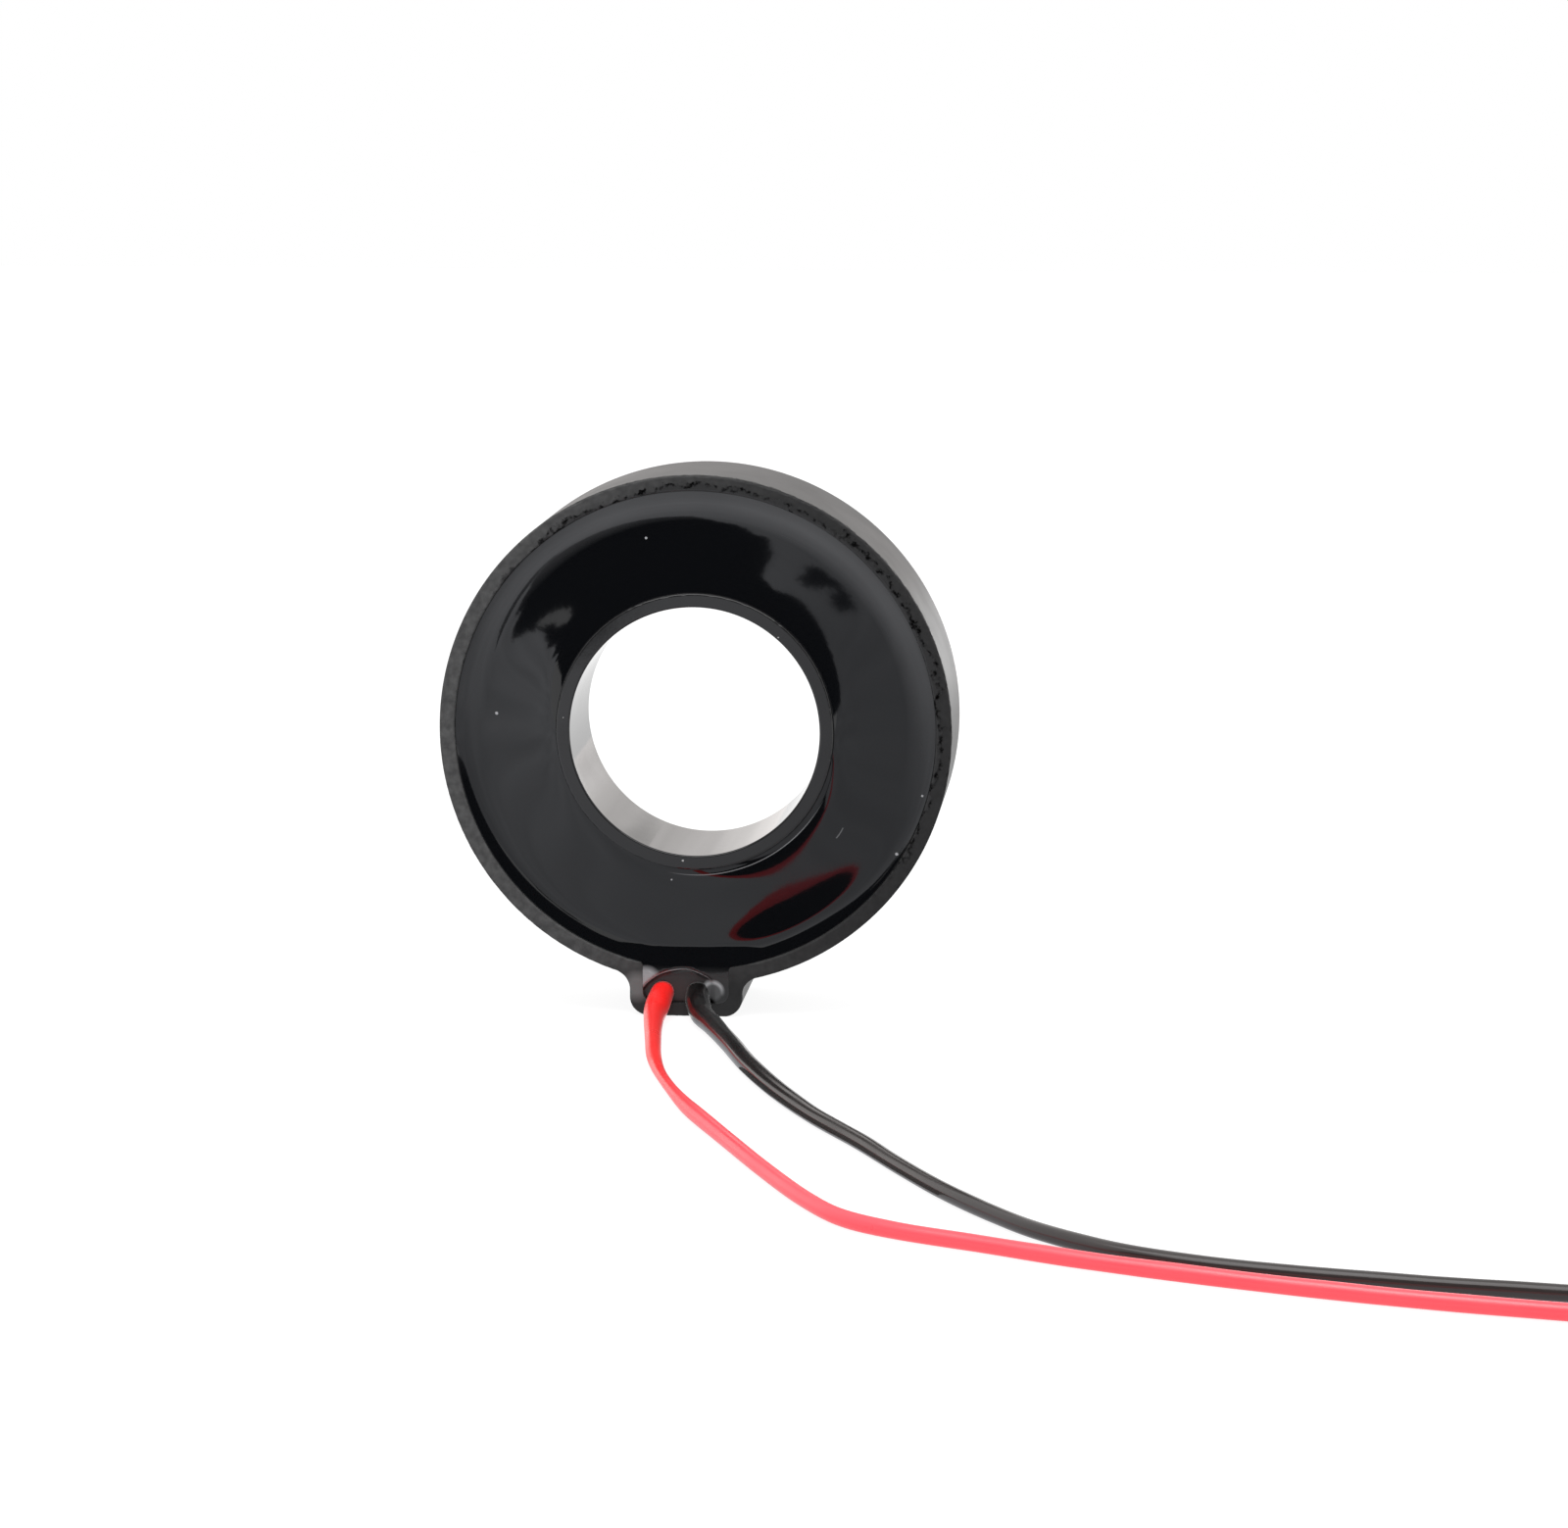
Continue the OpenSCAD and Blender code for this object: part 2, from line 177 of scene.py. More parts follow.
def length(name, description, default):
    """A size that the panel shows as a distance."""
    return FloatProperty(name=name, description=description, default=default, min=0,
                         unit="LENGTH", subtype="DISTANCE", precision=5)


def colour(name, description, default):
    """A linear colour that the panel shows as a swatch."""
    return FloatVectorProperty(name=name, description=description, default=default, size=3,
                               subtype="COLOR", min=0, max=1)


class CupSizes(bpy.types.PropertyGroup):
    """Sizes of the moulded cup."""
    outer_d: length("Case diameter", "Outside diameter of the round case", 2 * CASE_HIGH.z)
    depth: length("Case depth", "Depth of the case along the hole", CASE_HIGH.y - CASE_LOW.y)
    bore_d: length("Hole diameter", "Diameter of the hole for the conductor", 0.0161)
    wall: length("Wall", "Thickness of the outer wall", 0.001)
    tube_wall: length("Tube wall", "Thickness of the tube round the hole", 0.0009)
    back_wall: length("Back", "Thickness of the closed back", 0.001)
    chamfer: length("Back chamfer", "Chamfer on the edges of the closed back", 0.00035)
    edge: length("Rim rounding", "Rounding of the rims' edges", 0.00012)
    flash: length("Rim unevenness", "How uneven the rims' edges are", 0.00009)
    lug_w: length("Lug width", "Width of the lug that the leads come out of", 0.0073)
    lug_shift: length("Lug shift", "How far the lug lies to the left of the hole's axis", 0.0006)
    lug_wall: length("Lug wall", "Thickness of the lug's walls", 0.00085)
    lug_corner: length("Lug corner", "Radius of the lug's outer corners", 0.0012)
    lug_fillet: length("Lug fillet", "Radius between the lug and the round case", 0.0009)


class ResinSizes(bpy.types.PropertyGroup):
    """Sizes of the poured resin's face."""
    drop: length("Fill drop", "How far the resin's lowest ring lies below the rim", 0.0005)
    climb: length("Climb", "How far the resin climbs at the tube", 0.00012)
    creep: length("Creep", "How far from the tube the climb reaches", 0.0005)
    dish_r: length("Dish radius", "Radius of the hollow-ground section of the face", 0.13)
    dish_at: length("Dish middle", "Distance of the dish's lowest ring from the axis", 0.0154)
    ripple: length("Ripple", "Height of the slow waves in the resin's face", 0.000004)
    trough: length("Trough", "Depth of the shallow trough at the lower right", 0.00004)
    hollow_r: length("Hollow radius", "Radius of the hollow where the leads come out", 0.00315)
    hollow: length("Hollow depth", "Depth of that hollow", 0.00042)
    bead: length("Bead height", "Height of the drop of resin beside the black lead", 0.0003)


class LeadSizes(bpy.types.PropertyGroup):
    """Sizes of the two leads."""
    lead_d: length("Lead diameter", "Outside diameter of the leads' insulation", 0.00095)
    strand_d: length("Conductor diameter", "Diameter of the stranded conductor", 0.0005)
    strands: IntProperty(name="Strands", description="Strands in each conductor",
                         default=7, min=3, max=19)
    droop: length("Droop", "How far a lead sags where it leaves the resin", 0.00045)


class Finishes(bpy.types.PropertyGroup):
    """Colours of the visible surfaces."""
    cup: colour("Cup plastic", "Black moulded plastic", (0.01, 0.01, 0.0105))
    resin: colour("Resin", "Black potting resin", (0.003, 0.0033, 0.004))
    red: colour("Red insulation", "Red lead's soft plastic", (1.0, 0.016, 0.014))
    black: colour("Black insulation", "Black lead's soft plastic", (0.012, 0.01, 0.01))
    tin: colour("Tinned copper", "Bare strands", (0.78, 0.78, 0.76))


class StageSettings(bpy.types.PropertyGroup):
    """Floor and light."""
    floor_size: length("Floor size", "Side of the plain floor", 1.6)
    sky: FloatProperty(name="Sky", description="Strength of the even white surroundings",
                       default=1.0, min=0)
    lamp: FloatProperty(name="Lamp", description="Power of the soft box above, in watts",
                        default=0.35, min=0)


# ---------------------------------------------------------------- surfaces

def waves(points, size, seed, count=24):
    """Smooth unevenness, mostly between -1 and 1: a scaled sum of waves in seeded directions.

    Each wave is the sine of the point's distance along a direction, over a wavelength close
    to size, plus a phase.
    """
    rng = np.random.default_rng(seed)
    points = np.asarray(points, float)
    way = rng.normal(size=(count, points.shape[-1]))
    way /= np.linalg.norm(way, axis=1, keepdims=True)
    pitch = size * rng.uniform(0.6, 1.7, count)
    phase = rng.uniform(0, 2 * np.pi, count)
    sines = np.sin(2 * np.pi * (points @ way.T) / pitch + phase)
    return sines.sum(-1) * math.sqrt(2 / count) / 1.6


def ease(s):
    """The smooth step 3 s^2 - 2 s^3 between 0 and 1, held at its ends."""
    s = np.clip(s, 0, 1)
    return s * s * (3 - 2 * s)


def grid_faces(rows, columns, close_rows=False, close_columns=False):
    """Four corners for each cell of a grid of points, counted row by row."""
    r = np.arange(rows if close_rows else rows - 1)[:, None]
    c = np.arange(columns if close_columns else columns - 1)[None, :]
    r1, c1 = (r + 1) % rows, (c + 1) % columns
    corners = [r * columns + c, r * columns + c1, r1 * columns + c1, r1 * columns + c]
    return np.stack([k.ravel() for k in np.broadcast_arrays(*corners)], 1)


def face_out(points, faces):
    """The faces turned over if the volume that they close comes out negative."""
    a, b, c, d = (points[faces[:, k]] for k in range(4))
    volume = (np.einsum("ij,ij->i", a, np.cross(b, c)).sum()
              + np.einsum("ij,ij->i", a, np.cross(c, d)).sum())
    return faces if volume > 0 else faces[:, ::-1]


def surface_object(name, points, faces, caps=()):
    """An object with a smooth mesh of those four-cornered faces, and fans for its caps."""
    mesh = bpy.data.meshes.new(name)
    mesh.from_pydata(points.reshape(-1, 3).tolist(), [], [*faces.tolist(), *caps])
    mesh.validate()
    mesh.shade_smooth()
    mesh.update()
    piece = bpy.data.objects.new(name, mesh)
    bpy.context.scene.collection.objects.link(piece)
    return piece


def ring_object(name, loops):
    """A closed piece from rings of points (rows, columns, 3), closed both ways round."""
    rows, columns = loops.shape[:2]
    faces = grid_faces(rows, columns, close_rows=True, close_columns=True)
    return surface_object(name, loops, face_out(loops.reshape(-1, 3), faces))


def soft_line(route, step):
    """Points a step apart on a smooth curve through the route's points, and how far along.

    Each span is a cubic whose ends run parallel to the chords of its neighbours.
    """
    p = np.array(route, float)
    p = np.vstack([2 * p[0] - p[1], p, 2 * p[-1] - p[-2]])
    t = np.linspace(0, 1, 24, endpoint=False)[None, :, None]
    a, b, c, d = (p[k:len(p) - 3 + k, None] for k in range(4))
    spans = 0.5 * (2 * b + (c - a) * t + (2 * a - 5 * b + 4 * c - d) * t ** 2
                   + (3 * b - 3 * c + d - a) * t ** 3)
    line = np.vstack([spans.reshape(-1, 3), p[-2]])
    along = np.concatenate([[0], np.cumsum(np.linalg.norm(np.diff(line, axis=0), axis=1))])
    at = np.linspace(0, along[-1], max(3, round(along[-1] / step)))
    return np.stack([np.interp(at, along, line[:, k]) for k in range(3)], 1), at


def tube_rings(line, radius, sides, start=None, up=(0, 0, 1)):
    """Rings round a line: centre + radius (side cos a + top sin a), square to the line."""
    way = np.gradient(line, axis=0)
    way /= np.linalg.norm(way, axis=1, keepdims=True)
    if start is not None:
        way[0] = start
    side = np.cross(way, np.array(up, float))
    side /= np.linalg.norm(side, axis=1, keepdims=True)
    top = np.cross(side, way)
    a = 2 * np.pi * (np.arange(sides) + 0.5) / sides
    radius = np.broadcast_to(np.asarray(radius, float), (len(line),))[:, None, None]
    return line[:, None] + radius * (side[:, None] * np.cos(a)[None, :, None]
                                     + top[:, None] * np.sin(a)[None, :, None])


def tube_faces(rings, start=0):
    """A tube's side faces and its two flat caps, facing out, its points counted from start."""
    rows, sides = rings.shape[:2]
    faces = grid_faces(rows, sides, close_columns=True)
    turned = face_out(rings.reshape(-1, 3), faces)
    first = np.arange(sides) + start
    last = first + (rows - 1) * sides
    caps = [first[::-1], last] if turned is faces else [first, last[::-1]]
    return turned + start, [cap.tolist() for cap in caps]


def tube_object(name, rings):
    """A tube with a flat cap on each end."""
    return surface_object(name, rings, *tube_faces(rings))


# ---------------------------------------------------------------- outlines

def block_distance(x, z, centre, half, low, corner):
    """Signed distance to an upright block with round corners, its top inside the ring."""
    dx = np.abs(x - centre) - half + corner
    dz = np.abs(z - (low + BLOCK_TOP) / 2) - (BLOCK_TOP - low) / 2 + corner
    outside = np.hypot(np.maximum(dx, 0), np.maximum(dz, 0))
    return outside + np.minimum(np.maximum(dx, dz), 0) - corner


def blend_distance(a, b, radius):
    """Signed distance to both shapes joined by a concave fillet of that radius."""
    u, v = np.maximum(radius - a, 0), np.maximum(radius - b, 0)
    return np.maximum(radius, np.minimum(a, b)) - np.hypot(u, v)


def case_distance(sizes, x, z):
    """Signed distance to the case's outline: a circle and the lug, blended by fillets."""
    lug = block_distance(x, z, -sizes.lug_shift, sizes.lug_w / 2, CASE_LOW.z, sizes.lug_corner)
    return blend_distance(np.hypot(x, z) - sizes.outer_d / 2, lug, sizes.lug_fillet)


def cavity_distance(sizes, x, z):
    """Signed distance to the space inside the outer wall, the lug's pocket with it."""
    pocket = block_distance(x, z, -sizes.lug_shift, sizes.lug_w / 2 - sizes.lug_wall,
                            CASE_LOW.z + sizes.lug_wall, 0.6 * sizes.lug_corner)
    return blend_distance(np.hypot(x, z) - (sizes.outer_d / 2 - sizes.wall), pocket,
                          POCKET_FILLET)


def ring_angles():
    """Angles round the hole, from the lug's middle: fine at the lug, coarser elsewhere."""
    reach, fine, coarse = np.radians([19, 0.075, 0.5])
    return np.concatenate([np.arange(-reach, reach, fine),
                           np.arange(reach, 2 * math.pi - reach, coarse)]) - math.pi / 2


def outline(distance, angles):
    """Where the distance is zero along each angle, and the outward normal there.

    The zero lies between 12 and 24 mm from the axis, and halving that stretch finds it.
    """
    low = np.full_like(angles, 0.012)
    high = 2 * low
    for _ in range(34):
        mid = (low + high) / 2
        inside = distance(mid * np.cos(angles), mid * np.sin(angles)) < 0
        low, high = np.where(inside, mid, low), np.where(inside, high, mid)
    x, z = low * np.cos(angles), low * np.sin(angles)
    step = 2e-6
    slope = np.stack([distance(x + step, z) - distance(x - step, z),
                      distance(x, z + step) - distance(x, z - step)], 1)
    return np.stack([x, z], 1), slope / np.linalg.norm(slope, axis=1, keepdims=True)


def cup_section(sizes):
    """The cup's section as stops: an outline's name, the inset from it, and the depth y.

    It goes down the outside, over both rims with rounded edges, and back along the hole. A
    rounded edge is a quarter circle: inset e (1 - cos t) at a depth of e (1 - sin t).
    """
    front, back = -sizes.depth / 2, sizes.depth / 2
    floor, e, c = back - sizes.back_wall, sizes.edge, sizes.chamfer
    turn = np.linspace(0, math.pi / 2, 6)
    rounded = [(e * (1 - math.cos(t)), front + e * (1 - math.sin(t))) for t in turn]
    below = front + e + BESIDE

    def wall(name, start, end, count):
        """Stops straight along an outline."""
        return [(name, 0.0, y) for y in np.linspace(start, end, count)]

    def rim(outside, inside):
        """Stops over a rim: a rounded edge, its flat face and the other rounded edge."""
        return ([(outside, *stop) for stop in rounded]
                + [(outside, e + BESIDE, front), (inside, e + BESIDE, front)]
                + [(inside, *stop) for stop in rounded[::-1]])

    return [
        *wall("outer", back - c - BESIDE, front + FINE_WALL_NEXT, 8),
        *wall("outer", front + FINE_WALL, below, 4),
        *rim("outer", "cavity"),
        *wall("cavity", below, floor - BESIDE, 5), ("cavity", 0.0, floor),
        ("tube", 0.0, floor), *wall("tube", floor - BESIDE, below, 5),
        *rim("tube", "bore"),
        *wall("bore", below, back - c - BESIDE, 8),
        ("bore", 0.0, back - c), ("bore", c, back), ("bore", c + BESIDE_CHAMFER, back),
        ("outer", c + BESIDE_CHAMFER, back), ("outer", c, back), ("outer", 0.0, back - c)]


def cup_rings(sizes):
    """The cup's section carried round the hole.

    Every ring is an outline moved into the plastic by its inset, at its own depth y. The back
    chamfer stops at the lug, whose edge is square, and the cavity's rounded edge dies out in
    the lug, which the resin fills to the rim.
    """
    a = ring_angles()
    outer, outer_n = outline(lambda x, z: case_distance(sizes, x, z), a)
    cavity, cavity_n = outline(lambda x, z: cavity_distance(sizes, x, z), a)
    spoke = np.stack([np.cos(a), np.sin(a)], 1)
    bore_r = sizes.bore_d / 2
    lines = {"outer": (outer, -outer_n), "cavity": (cavity, cavity_n),
             "tube": ((bore_r + sizes.tube_wall) * spoke, -spoke), "bore": (bore_r * spoke, spoke)}
    front, back = -sizes.depth / 2, sizes.depth / 2
    rim_end = front + sizes.edge + TINY
    chamfer_start = back - sizes.chamfer - TINY
    off = np.degrees(np.abs((a + math.pi / 2 + math.pi) % (2 * math.pi) - math.pi))
    past_lug = np.clip((off - CHAMFER_FROM) / CHAMFER_WITHIN, 0, 1)
    past_pocket = np.clip((off - ROUNDED_FROM) / ROUNDED_WITHIN, 0.04, 1)
    rings = []
    for line, inset, y in cup_section(sizes):
        path, inward = lines[line]
        insets, depth = np.full(len(a), inset), np.full(len(a), y)
        if line == "outer" and y > chamfer_start:
            insets = inset * past_lug + max(inset - sizes.chamfer, 0) * (1 - past_lug)
        if line == "cavity" and y < rim_end:
            insets, depth = insets * past_pocket, front + (y - front) * past_pocket
        if line in RAGGED and y < rim_end:
            share, seed = RAGGED[line]
            rag = share * sizes.flash * np.maximum(waves(path, RAG_SIZE, seed), 0)
            insets = insets + rag * (insets < 0.8 * sizes.edge)
        xz = path + inward * insets[:, None]
        rings.append(np.stack([xz[:, 0], depth, xz[:, 1]], 1))
    return np.array(rings)


def round_ring(values, turn):
    """A smooth closed curve through values in millimetres spaced evenly round the ring."""
    wave = np.fft.rfft(np.array(values) * MM) / len(values)
    parts = [wave[0].real]
    parts += [2 * (wave[k] * np.exp(1j * k * turn)).real for k in range(1, len(wave) - 1)]
    return np.maximum(sum(parts) + wave[-1].real * np.cos(len(values) // 2 * turn), 5e-5)


def resin_height(sizes, resin, x, z):
    """Depth y of the resin's face at (x, z).

    The face is hollow-ground to a large radius. It climbs towards every wall and falls off
    from it exponentially. In the lug it rises to the rim. A round hollow with a soft edge is
    taken out where the leads come out, and slow waves go over it all.
    """
    front, away, turn = -sizes.depth / 2, np.hypot(x, z), np.arctan2(z, x)
    at = np.stack([x, z], -1)
    wall = -cavity_distance(sizes, x, z)
    tube = away - sizes.bore_d / 2 - sizes.tube_wall
    y = front + resin.drop - (away - resin.dish_at) ** 2 / (2 * resin.dish_r)
    y -= resin.climb * np.exp(-tube / resin.creep)
    y -= round_ring(WALL_CLIMB, turn) * np.exp(-wall / round_ring(WALL_CREEP, turn))
    y += resin.ripple * waves(at, 0.009, 5)
    y += resin.trough * np.exp(-((away - TROUGH_AT) / TROUGH_HALF) ** 2
                               - ((turn - TROUGH_ANGLE) / TROUGH_SPREAD) ** 2)
    rise = ease((RISE_TOP - z) / RISE_DOWN)
    rise = rise * ease((RISE_HALF - np.abs(x + sizes.lug_shift)) / RISE_IN)
    y += (front + RIM_GAP - y) * rise
    edge = resin.hollow_r - np.hypot(x - HOLLOW_AT[0] * MM, z - HOLLOW_AT[1] * MM)
    edge += HOLLOW_WAVES * waves(at, HOLLOW_WAVE_SIZE, 8)
    hollow = ease(edge / HOLLOW_SOFT + 0.5) * ease((HOLLOW_RIGHT - x) / HOLLOW_RIGHT_SOFT)
    bead = 1 - np.hypot(x - BEAD_AT[0] * MM, z - BEAD_AT[1] * MM) / BEAD_R
    return y + (resin.hollow - resin.bead * ease(2 * bead)) * hollow


def resin_rings(sizes, resin):
    """The resin's face from the tube to the outer wall, then its sides and back, as rings.

    The face's rings lie closer together near both walls.
    """
    a = ring_angles()
    cavity, _ = outline(lambda x, z: cavity_distance(sizes, x, z), a)
    tube = (sizes.bore_d / 2 + sizes.tube_wall) * np.stack([np.cos(a), np.sin(a)], 1)
    t = np.linspace(0, 1, FACE_RINGS)
    share = (0.55 * t + 0.45 * (0.5 - 0.5 * np.cos(np.pi * t)))[:, None, None]
    x, z = np.moveaxis(tube * (1 - share) + cavity * share, -1, 0)
    face = np.stack([x, resin_height(sizes, resin, x, z), z], 2)
    far = face[[-1, 0]]
    far[..., 1] = sizes.depth / 2 - sizes.back_wall
    return np.concatenate([face, far])


# ---------------------------------------------------------------- leads

def bend_line(x):
    """The buried end of a lead: straight down, then round an arc to the outlet."""
    straight = np.stack(np.broadcast_arrays(x, TAIL_Y, np.linspace(TAIL_TOP, TAIL_BOTTOM, 12)), 1)
    t = np.linspace(0, BEND_ANGLE, 24)[1:]
    arc = np.stack(np.broadcast_arrays(x, TAIL_Y - BEND_R * (1 - np.cos(t)),
                                       TAIL_BOTTOM - BEND_R * np.sin(t)), 1)
    return np.vstack([straight, arc])


def lead_radius(along, widths, plain):
    """Half the width at each length along, from a table of widths.

    The table is read in straight runs and averaged over a millimetre to each side. Its last
    width stands for the plain lead, so the whole is scaled to that.
    """
    table = np.array(widths)
    at = np.linspace(-1, 1, 15)[None, :] + along[:, None] / MM
    return np.interp(at, table[:, 0], table[:, 1]).mean(1) / table[-1, 1] * plain


def strand_rings(line, sizes):
    """Round strands, each a helix a strand's width from the middle one."""
    way = line[-1] - line[-2]
    way[2] = 0
    way /= np.linalg.norm(way)
    t = np.linspace(0, 1, TIP_STEPS)
    centre = line[-1] + way * (t * TIP_LENGTH)[:, None]
    thin = sizes.strand_d / 6
    side, top = np.cross(way, [0, 0, 1]), np.array([0, 0, 1.0])
    around = sizes.strands - 1
    for k in range(sizes.strands):
        a = 2 * np.pi * (k / around + TIP_TURNS * t)
        off = 2 * thin if k < around else 0
        path = centre + off * (side * np.cos(a)[:, None] + top * np.sin(a)[:, None])
        yield tube_rings(path, thin * np.where(t > 0.985, 0.8, 1.0), STRAND_SIDES)


def strands_object(name, line, sizes):
    """All the strands of a bare end as one piece."""
    rings = np.array(list(strand_rings(line, sizes)))
    faces, caps = zip(*(tube_faces(strand, k * TIP_STEPS * STRAND_SIDES)
                        for k, strand in enumerate(rings)))
    return surface_object(name, rings, np.vstack(faces), sum(caps, []))


# ---------------------------------------------------------------- finishes
# Places and lengths in the finishes are in metres.

class Nodes:
    """A node tree and short ways to add to it. A value is a number, a colour or a socket."""

    def __init__(self, tree):
        self.tree = tree

    def set(self, socket, value):
        """Links another socket to this one, or gives it a plain value."""
        if isinstance(value, bpy.types.NodeSocket):
            self.tree.links.new(value, socket)
        else:
            socket.default_value = value

    def add(self, kind, inputs, **settings):
        """A node with its inputs and settings."""
        made = self.tree.nodes.new(kind)
        for key, value in settings.items():
            setattr(made, key, value)
        for key, value in inputs.items():
            self.set(made.inputs[key], value)
        return made

    def math(self, operation, *values, clamp=False):
        """One arithmetic step."""
        return self.add("ShaderNodeMath", dict(enumerate(values)), operation=operation,
                        use_clamp=clamp).outputs[0]

    def times(self, *values):
        """The product of the values."""
        return reduce(lambda a, b: self.math("MULTIPLY", a, b), values)

    def most(self, *values):
        """The largest of the values."""
        return reduce(lambda a, b: self.math("MAXIMUM", a, b), values)

    def distance(self, x, z):
        """The square root of x^2 + z^2."""
        return self.math("SQRT", self.math("ADD", self.times(x, x), self.times(z, z)))

    def span(self, value, a, b, low, high):
        """The value taken from the range a..b to the range low..high, held at its ends."""
        return self.add("ShaderNodeMapRange", {0: value, 1: a, 2: b, 3: low, 4: high}).outputs[0]

    def noise(self, vector, scale, **more):
        """Smooth noise between 0 and 1."""
        return self.add("ShaderNodeTexNoise", {"Vector": vector, "Scale": scale, **more}).outputs[0]

    def mix(self, factor, a, b):
        """Colour a, going over to colour b as the factor rises."""
        made = self.add("ShaderNodeMix", {}, data_type="RGBA")
        self.set(made.inputs[0], factor)
        for socket, value in ((made.inputs[6], a), (made.inputs[7], b)):
            self.set(socket, value if isinstance(value, bpy.types.NodeSocket) else (*value, 1))
        return made.outputs[2]


class Finish(Nodes):
    """A material's nodes, with the point's place on the object."""

    def __init__(self, name, **settings):
        self.material = bpy.data.materials.new(name)
        self.material.use_nodes = True
        super().__init__(self.material.node_tree)
        self.shader = self.tree.nodes["Principled BSDF"]
        self.feed(**settings)
        self.where = self.tree.nodes.new("ShaderNodeTexCoord").outputs["Object"]

    @cached_property
    def place(self):
        """The point's x, y and z."""
        return tuple(self.add("ShaderNodeSeparateXYZ", {0: self.where}).outputs)

    @cached_property
    def away(self):
        """The point's distance from the hole's axis."""
        return self.distance(self.place[0], self.place[2])

    @cached_property
    def angle(self):
        """The point's angle round the hole, from the right, anticlockwise."""
        return self.math("ARCTAN2", self.place[2], self.place[0])

    def towards(self, degrees):
        """How far round the point lies towards that angle: 1 there and -1 opposite."""
        return self.math("COSINE", self.math("SUBTRACT", self.angle, math.radians(degrees)))

    def effect(self, shared, **values):
        """One use of a shared effect with its own values, as its outputs."""
        return self.add("ShaderNodeGroup", {"Vector": self.where, **values},
                        node_tree=shared()).outputs

    def spot(self, at, radius, width):
        """A round mark at a place in millimetres, as its outputs."""
        return self.effect(round_mark, X=at[0] * MM, Z=at[1] * MM, Radius=radius, Width=width)

    def feed(self, **inputs):
        """Gives values or sockets to the shader."""
        for key, value in inputs.items():
            self.set(self.shader.inputs[key.replace("_", " ")], value)

    def bump(self, height, strength, distance=GRAIN_DEPTH):
        """Feeds a height to the shader's normal."""
        made = self.add("ShaderNodeBump", {"Height": height, "Strength": strength,
                                           "Distance": distance})
        self.feed(Normal=made.outputs[0])


def shared_nodes(name, masks, **numbers):
    """An empty node group: a place and some numbers go in, and masks come out."""
    group = bpy.data.node_groups.new(name, "ShaderNodeTree")
    group.interface.new_socket("Vector", in_out="INPUT", socket_type="NodeSocketVector")
    for label, default in numbers.items():
        socket = group.interface.new_socket(label, in_out="INPUT", socket_type="NodeSocketFloat")
        socket.default_value = default
    for label in masks:
        group.interface.new_socket(label, in_out="OUTPUT", socket_type="NodeSocketFloat")
    given, made = group.nodes.new("NodeGroupInput"), group.nodes.new("NodeGroupOutput")
    return Nodes(group), given.outputs, made.inputs


@cache
def fine_grain():
    """Fine unevenness: a mask and a height from two sizes of noise."""
    nodes, given, made = shared_nodes("Fine grain", ("Height", "Mask"), Scale=900.0, Coarse=0.3)
    fine = nodes.noise(given["Vector"], given["Scale"], Detail=3.0, Roughness=0.6)
    slow = nodes.noise(given["Vector"], nodes.times(given["Scale"], 0.13), Detail=2.0)
    nodes.set(made["Height"], nodes.math("MULTIPLY_ADD", slow, given["Coarse"], fine))
    nodes.set(made["Mask"], slow)
    return nodes.tree


@cache
def dust_specks():
    """Dust: a mask of small spots at scattered points, fewer as Amount falls."""
    nodes, given, made = shared_nodes("Dust specks", ("Mask",), Scale=600.0, Size=0.1, Amount=0.1)
    cells = nodes.add("ShaderNodeTexVoronoi", {"Vector": given["Vector"],
                                               "Scale": given["Scale"]}).outputs
    wobble = nodes.noise(given["Vector"], nodes.times(given["Scale"], 3.0))
    reach = nodes.times(given["Size"], nodes.math("ADD", wobble, 0.5))
    near = nodes.math("LESS_THAN", cells["Distance"], reach)
    chance = nodes.add("ShaderNodeSeparateColor", {0: cells["Color"]}).outputs[0]
    chosen = nodes.math("LESS_THAN", chance, given["Amount"])
    nodes.set(made["Mask"], nodes.times(near, chosen))
    return nodes.tree


@cache
def hairlines():
    """Hairlines: a mask of thin lines where a bent noise crosses its middle."""
    nodes, given, made = shared_nodes("Hairlines", ("Mask",), Scale=60.0, Amount=0.5)
    bent = nodes.noise(given["Vector"], given["Scale"], Detail=1.0, Distortion=0.6)
    off = nodes.math("ABSOLUTE", nodes.math("SUBTRACT", bent, 0.5))
    gate = nodes.noise(given["Vector"], nodes.times(given["Scale"], 2.3))
    nodes.set(made["Mask"], nodes.times(nodes.math("LESS_THAN", off, 0.0016),
                                        nodes.math("LESS_THAN", gate, given["Amount"])))
    return nodes.tree


@cache
def round_mark():
    """Marks round a point, seen along the depth: a soft disc, and a soft line round its edge."""
    nodes, given, made = shared_nodes("Round mark", ("Disc", "Line"), X=0.0, Z=0.0,
                                      Radius=0.001, Width=0.0001)
    place = nodes.add("ShaderNodeSeparateXYZ", {0: given["Vector"]}).outputs
    away = nodes.distance(nodes.math("SUBTRACT", place[0], given["X"]),
                          nodes.math("SUBTRACT", place[2], given["Z"]))
    off = nodes.math("DIVIDE", nodes.math("SUBTRACT", away, given["Radius"]), given["Width"])
    nodes.set(made["Disc"], nodes.math("SUBTRACT", 0.5, off, clamp=True))
    nodes.set(made["Line"], nodes.math("SUBTRACT", 1.0, nodes.math("ABSOLUTE", off), clamp=True))
    return nodes.tree


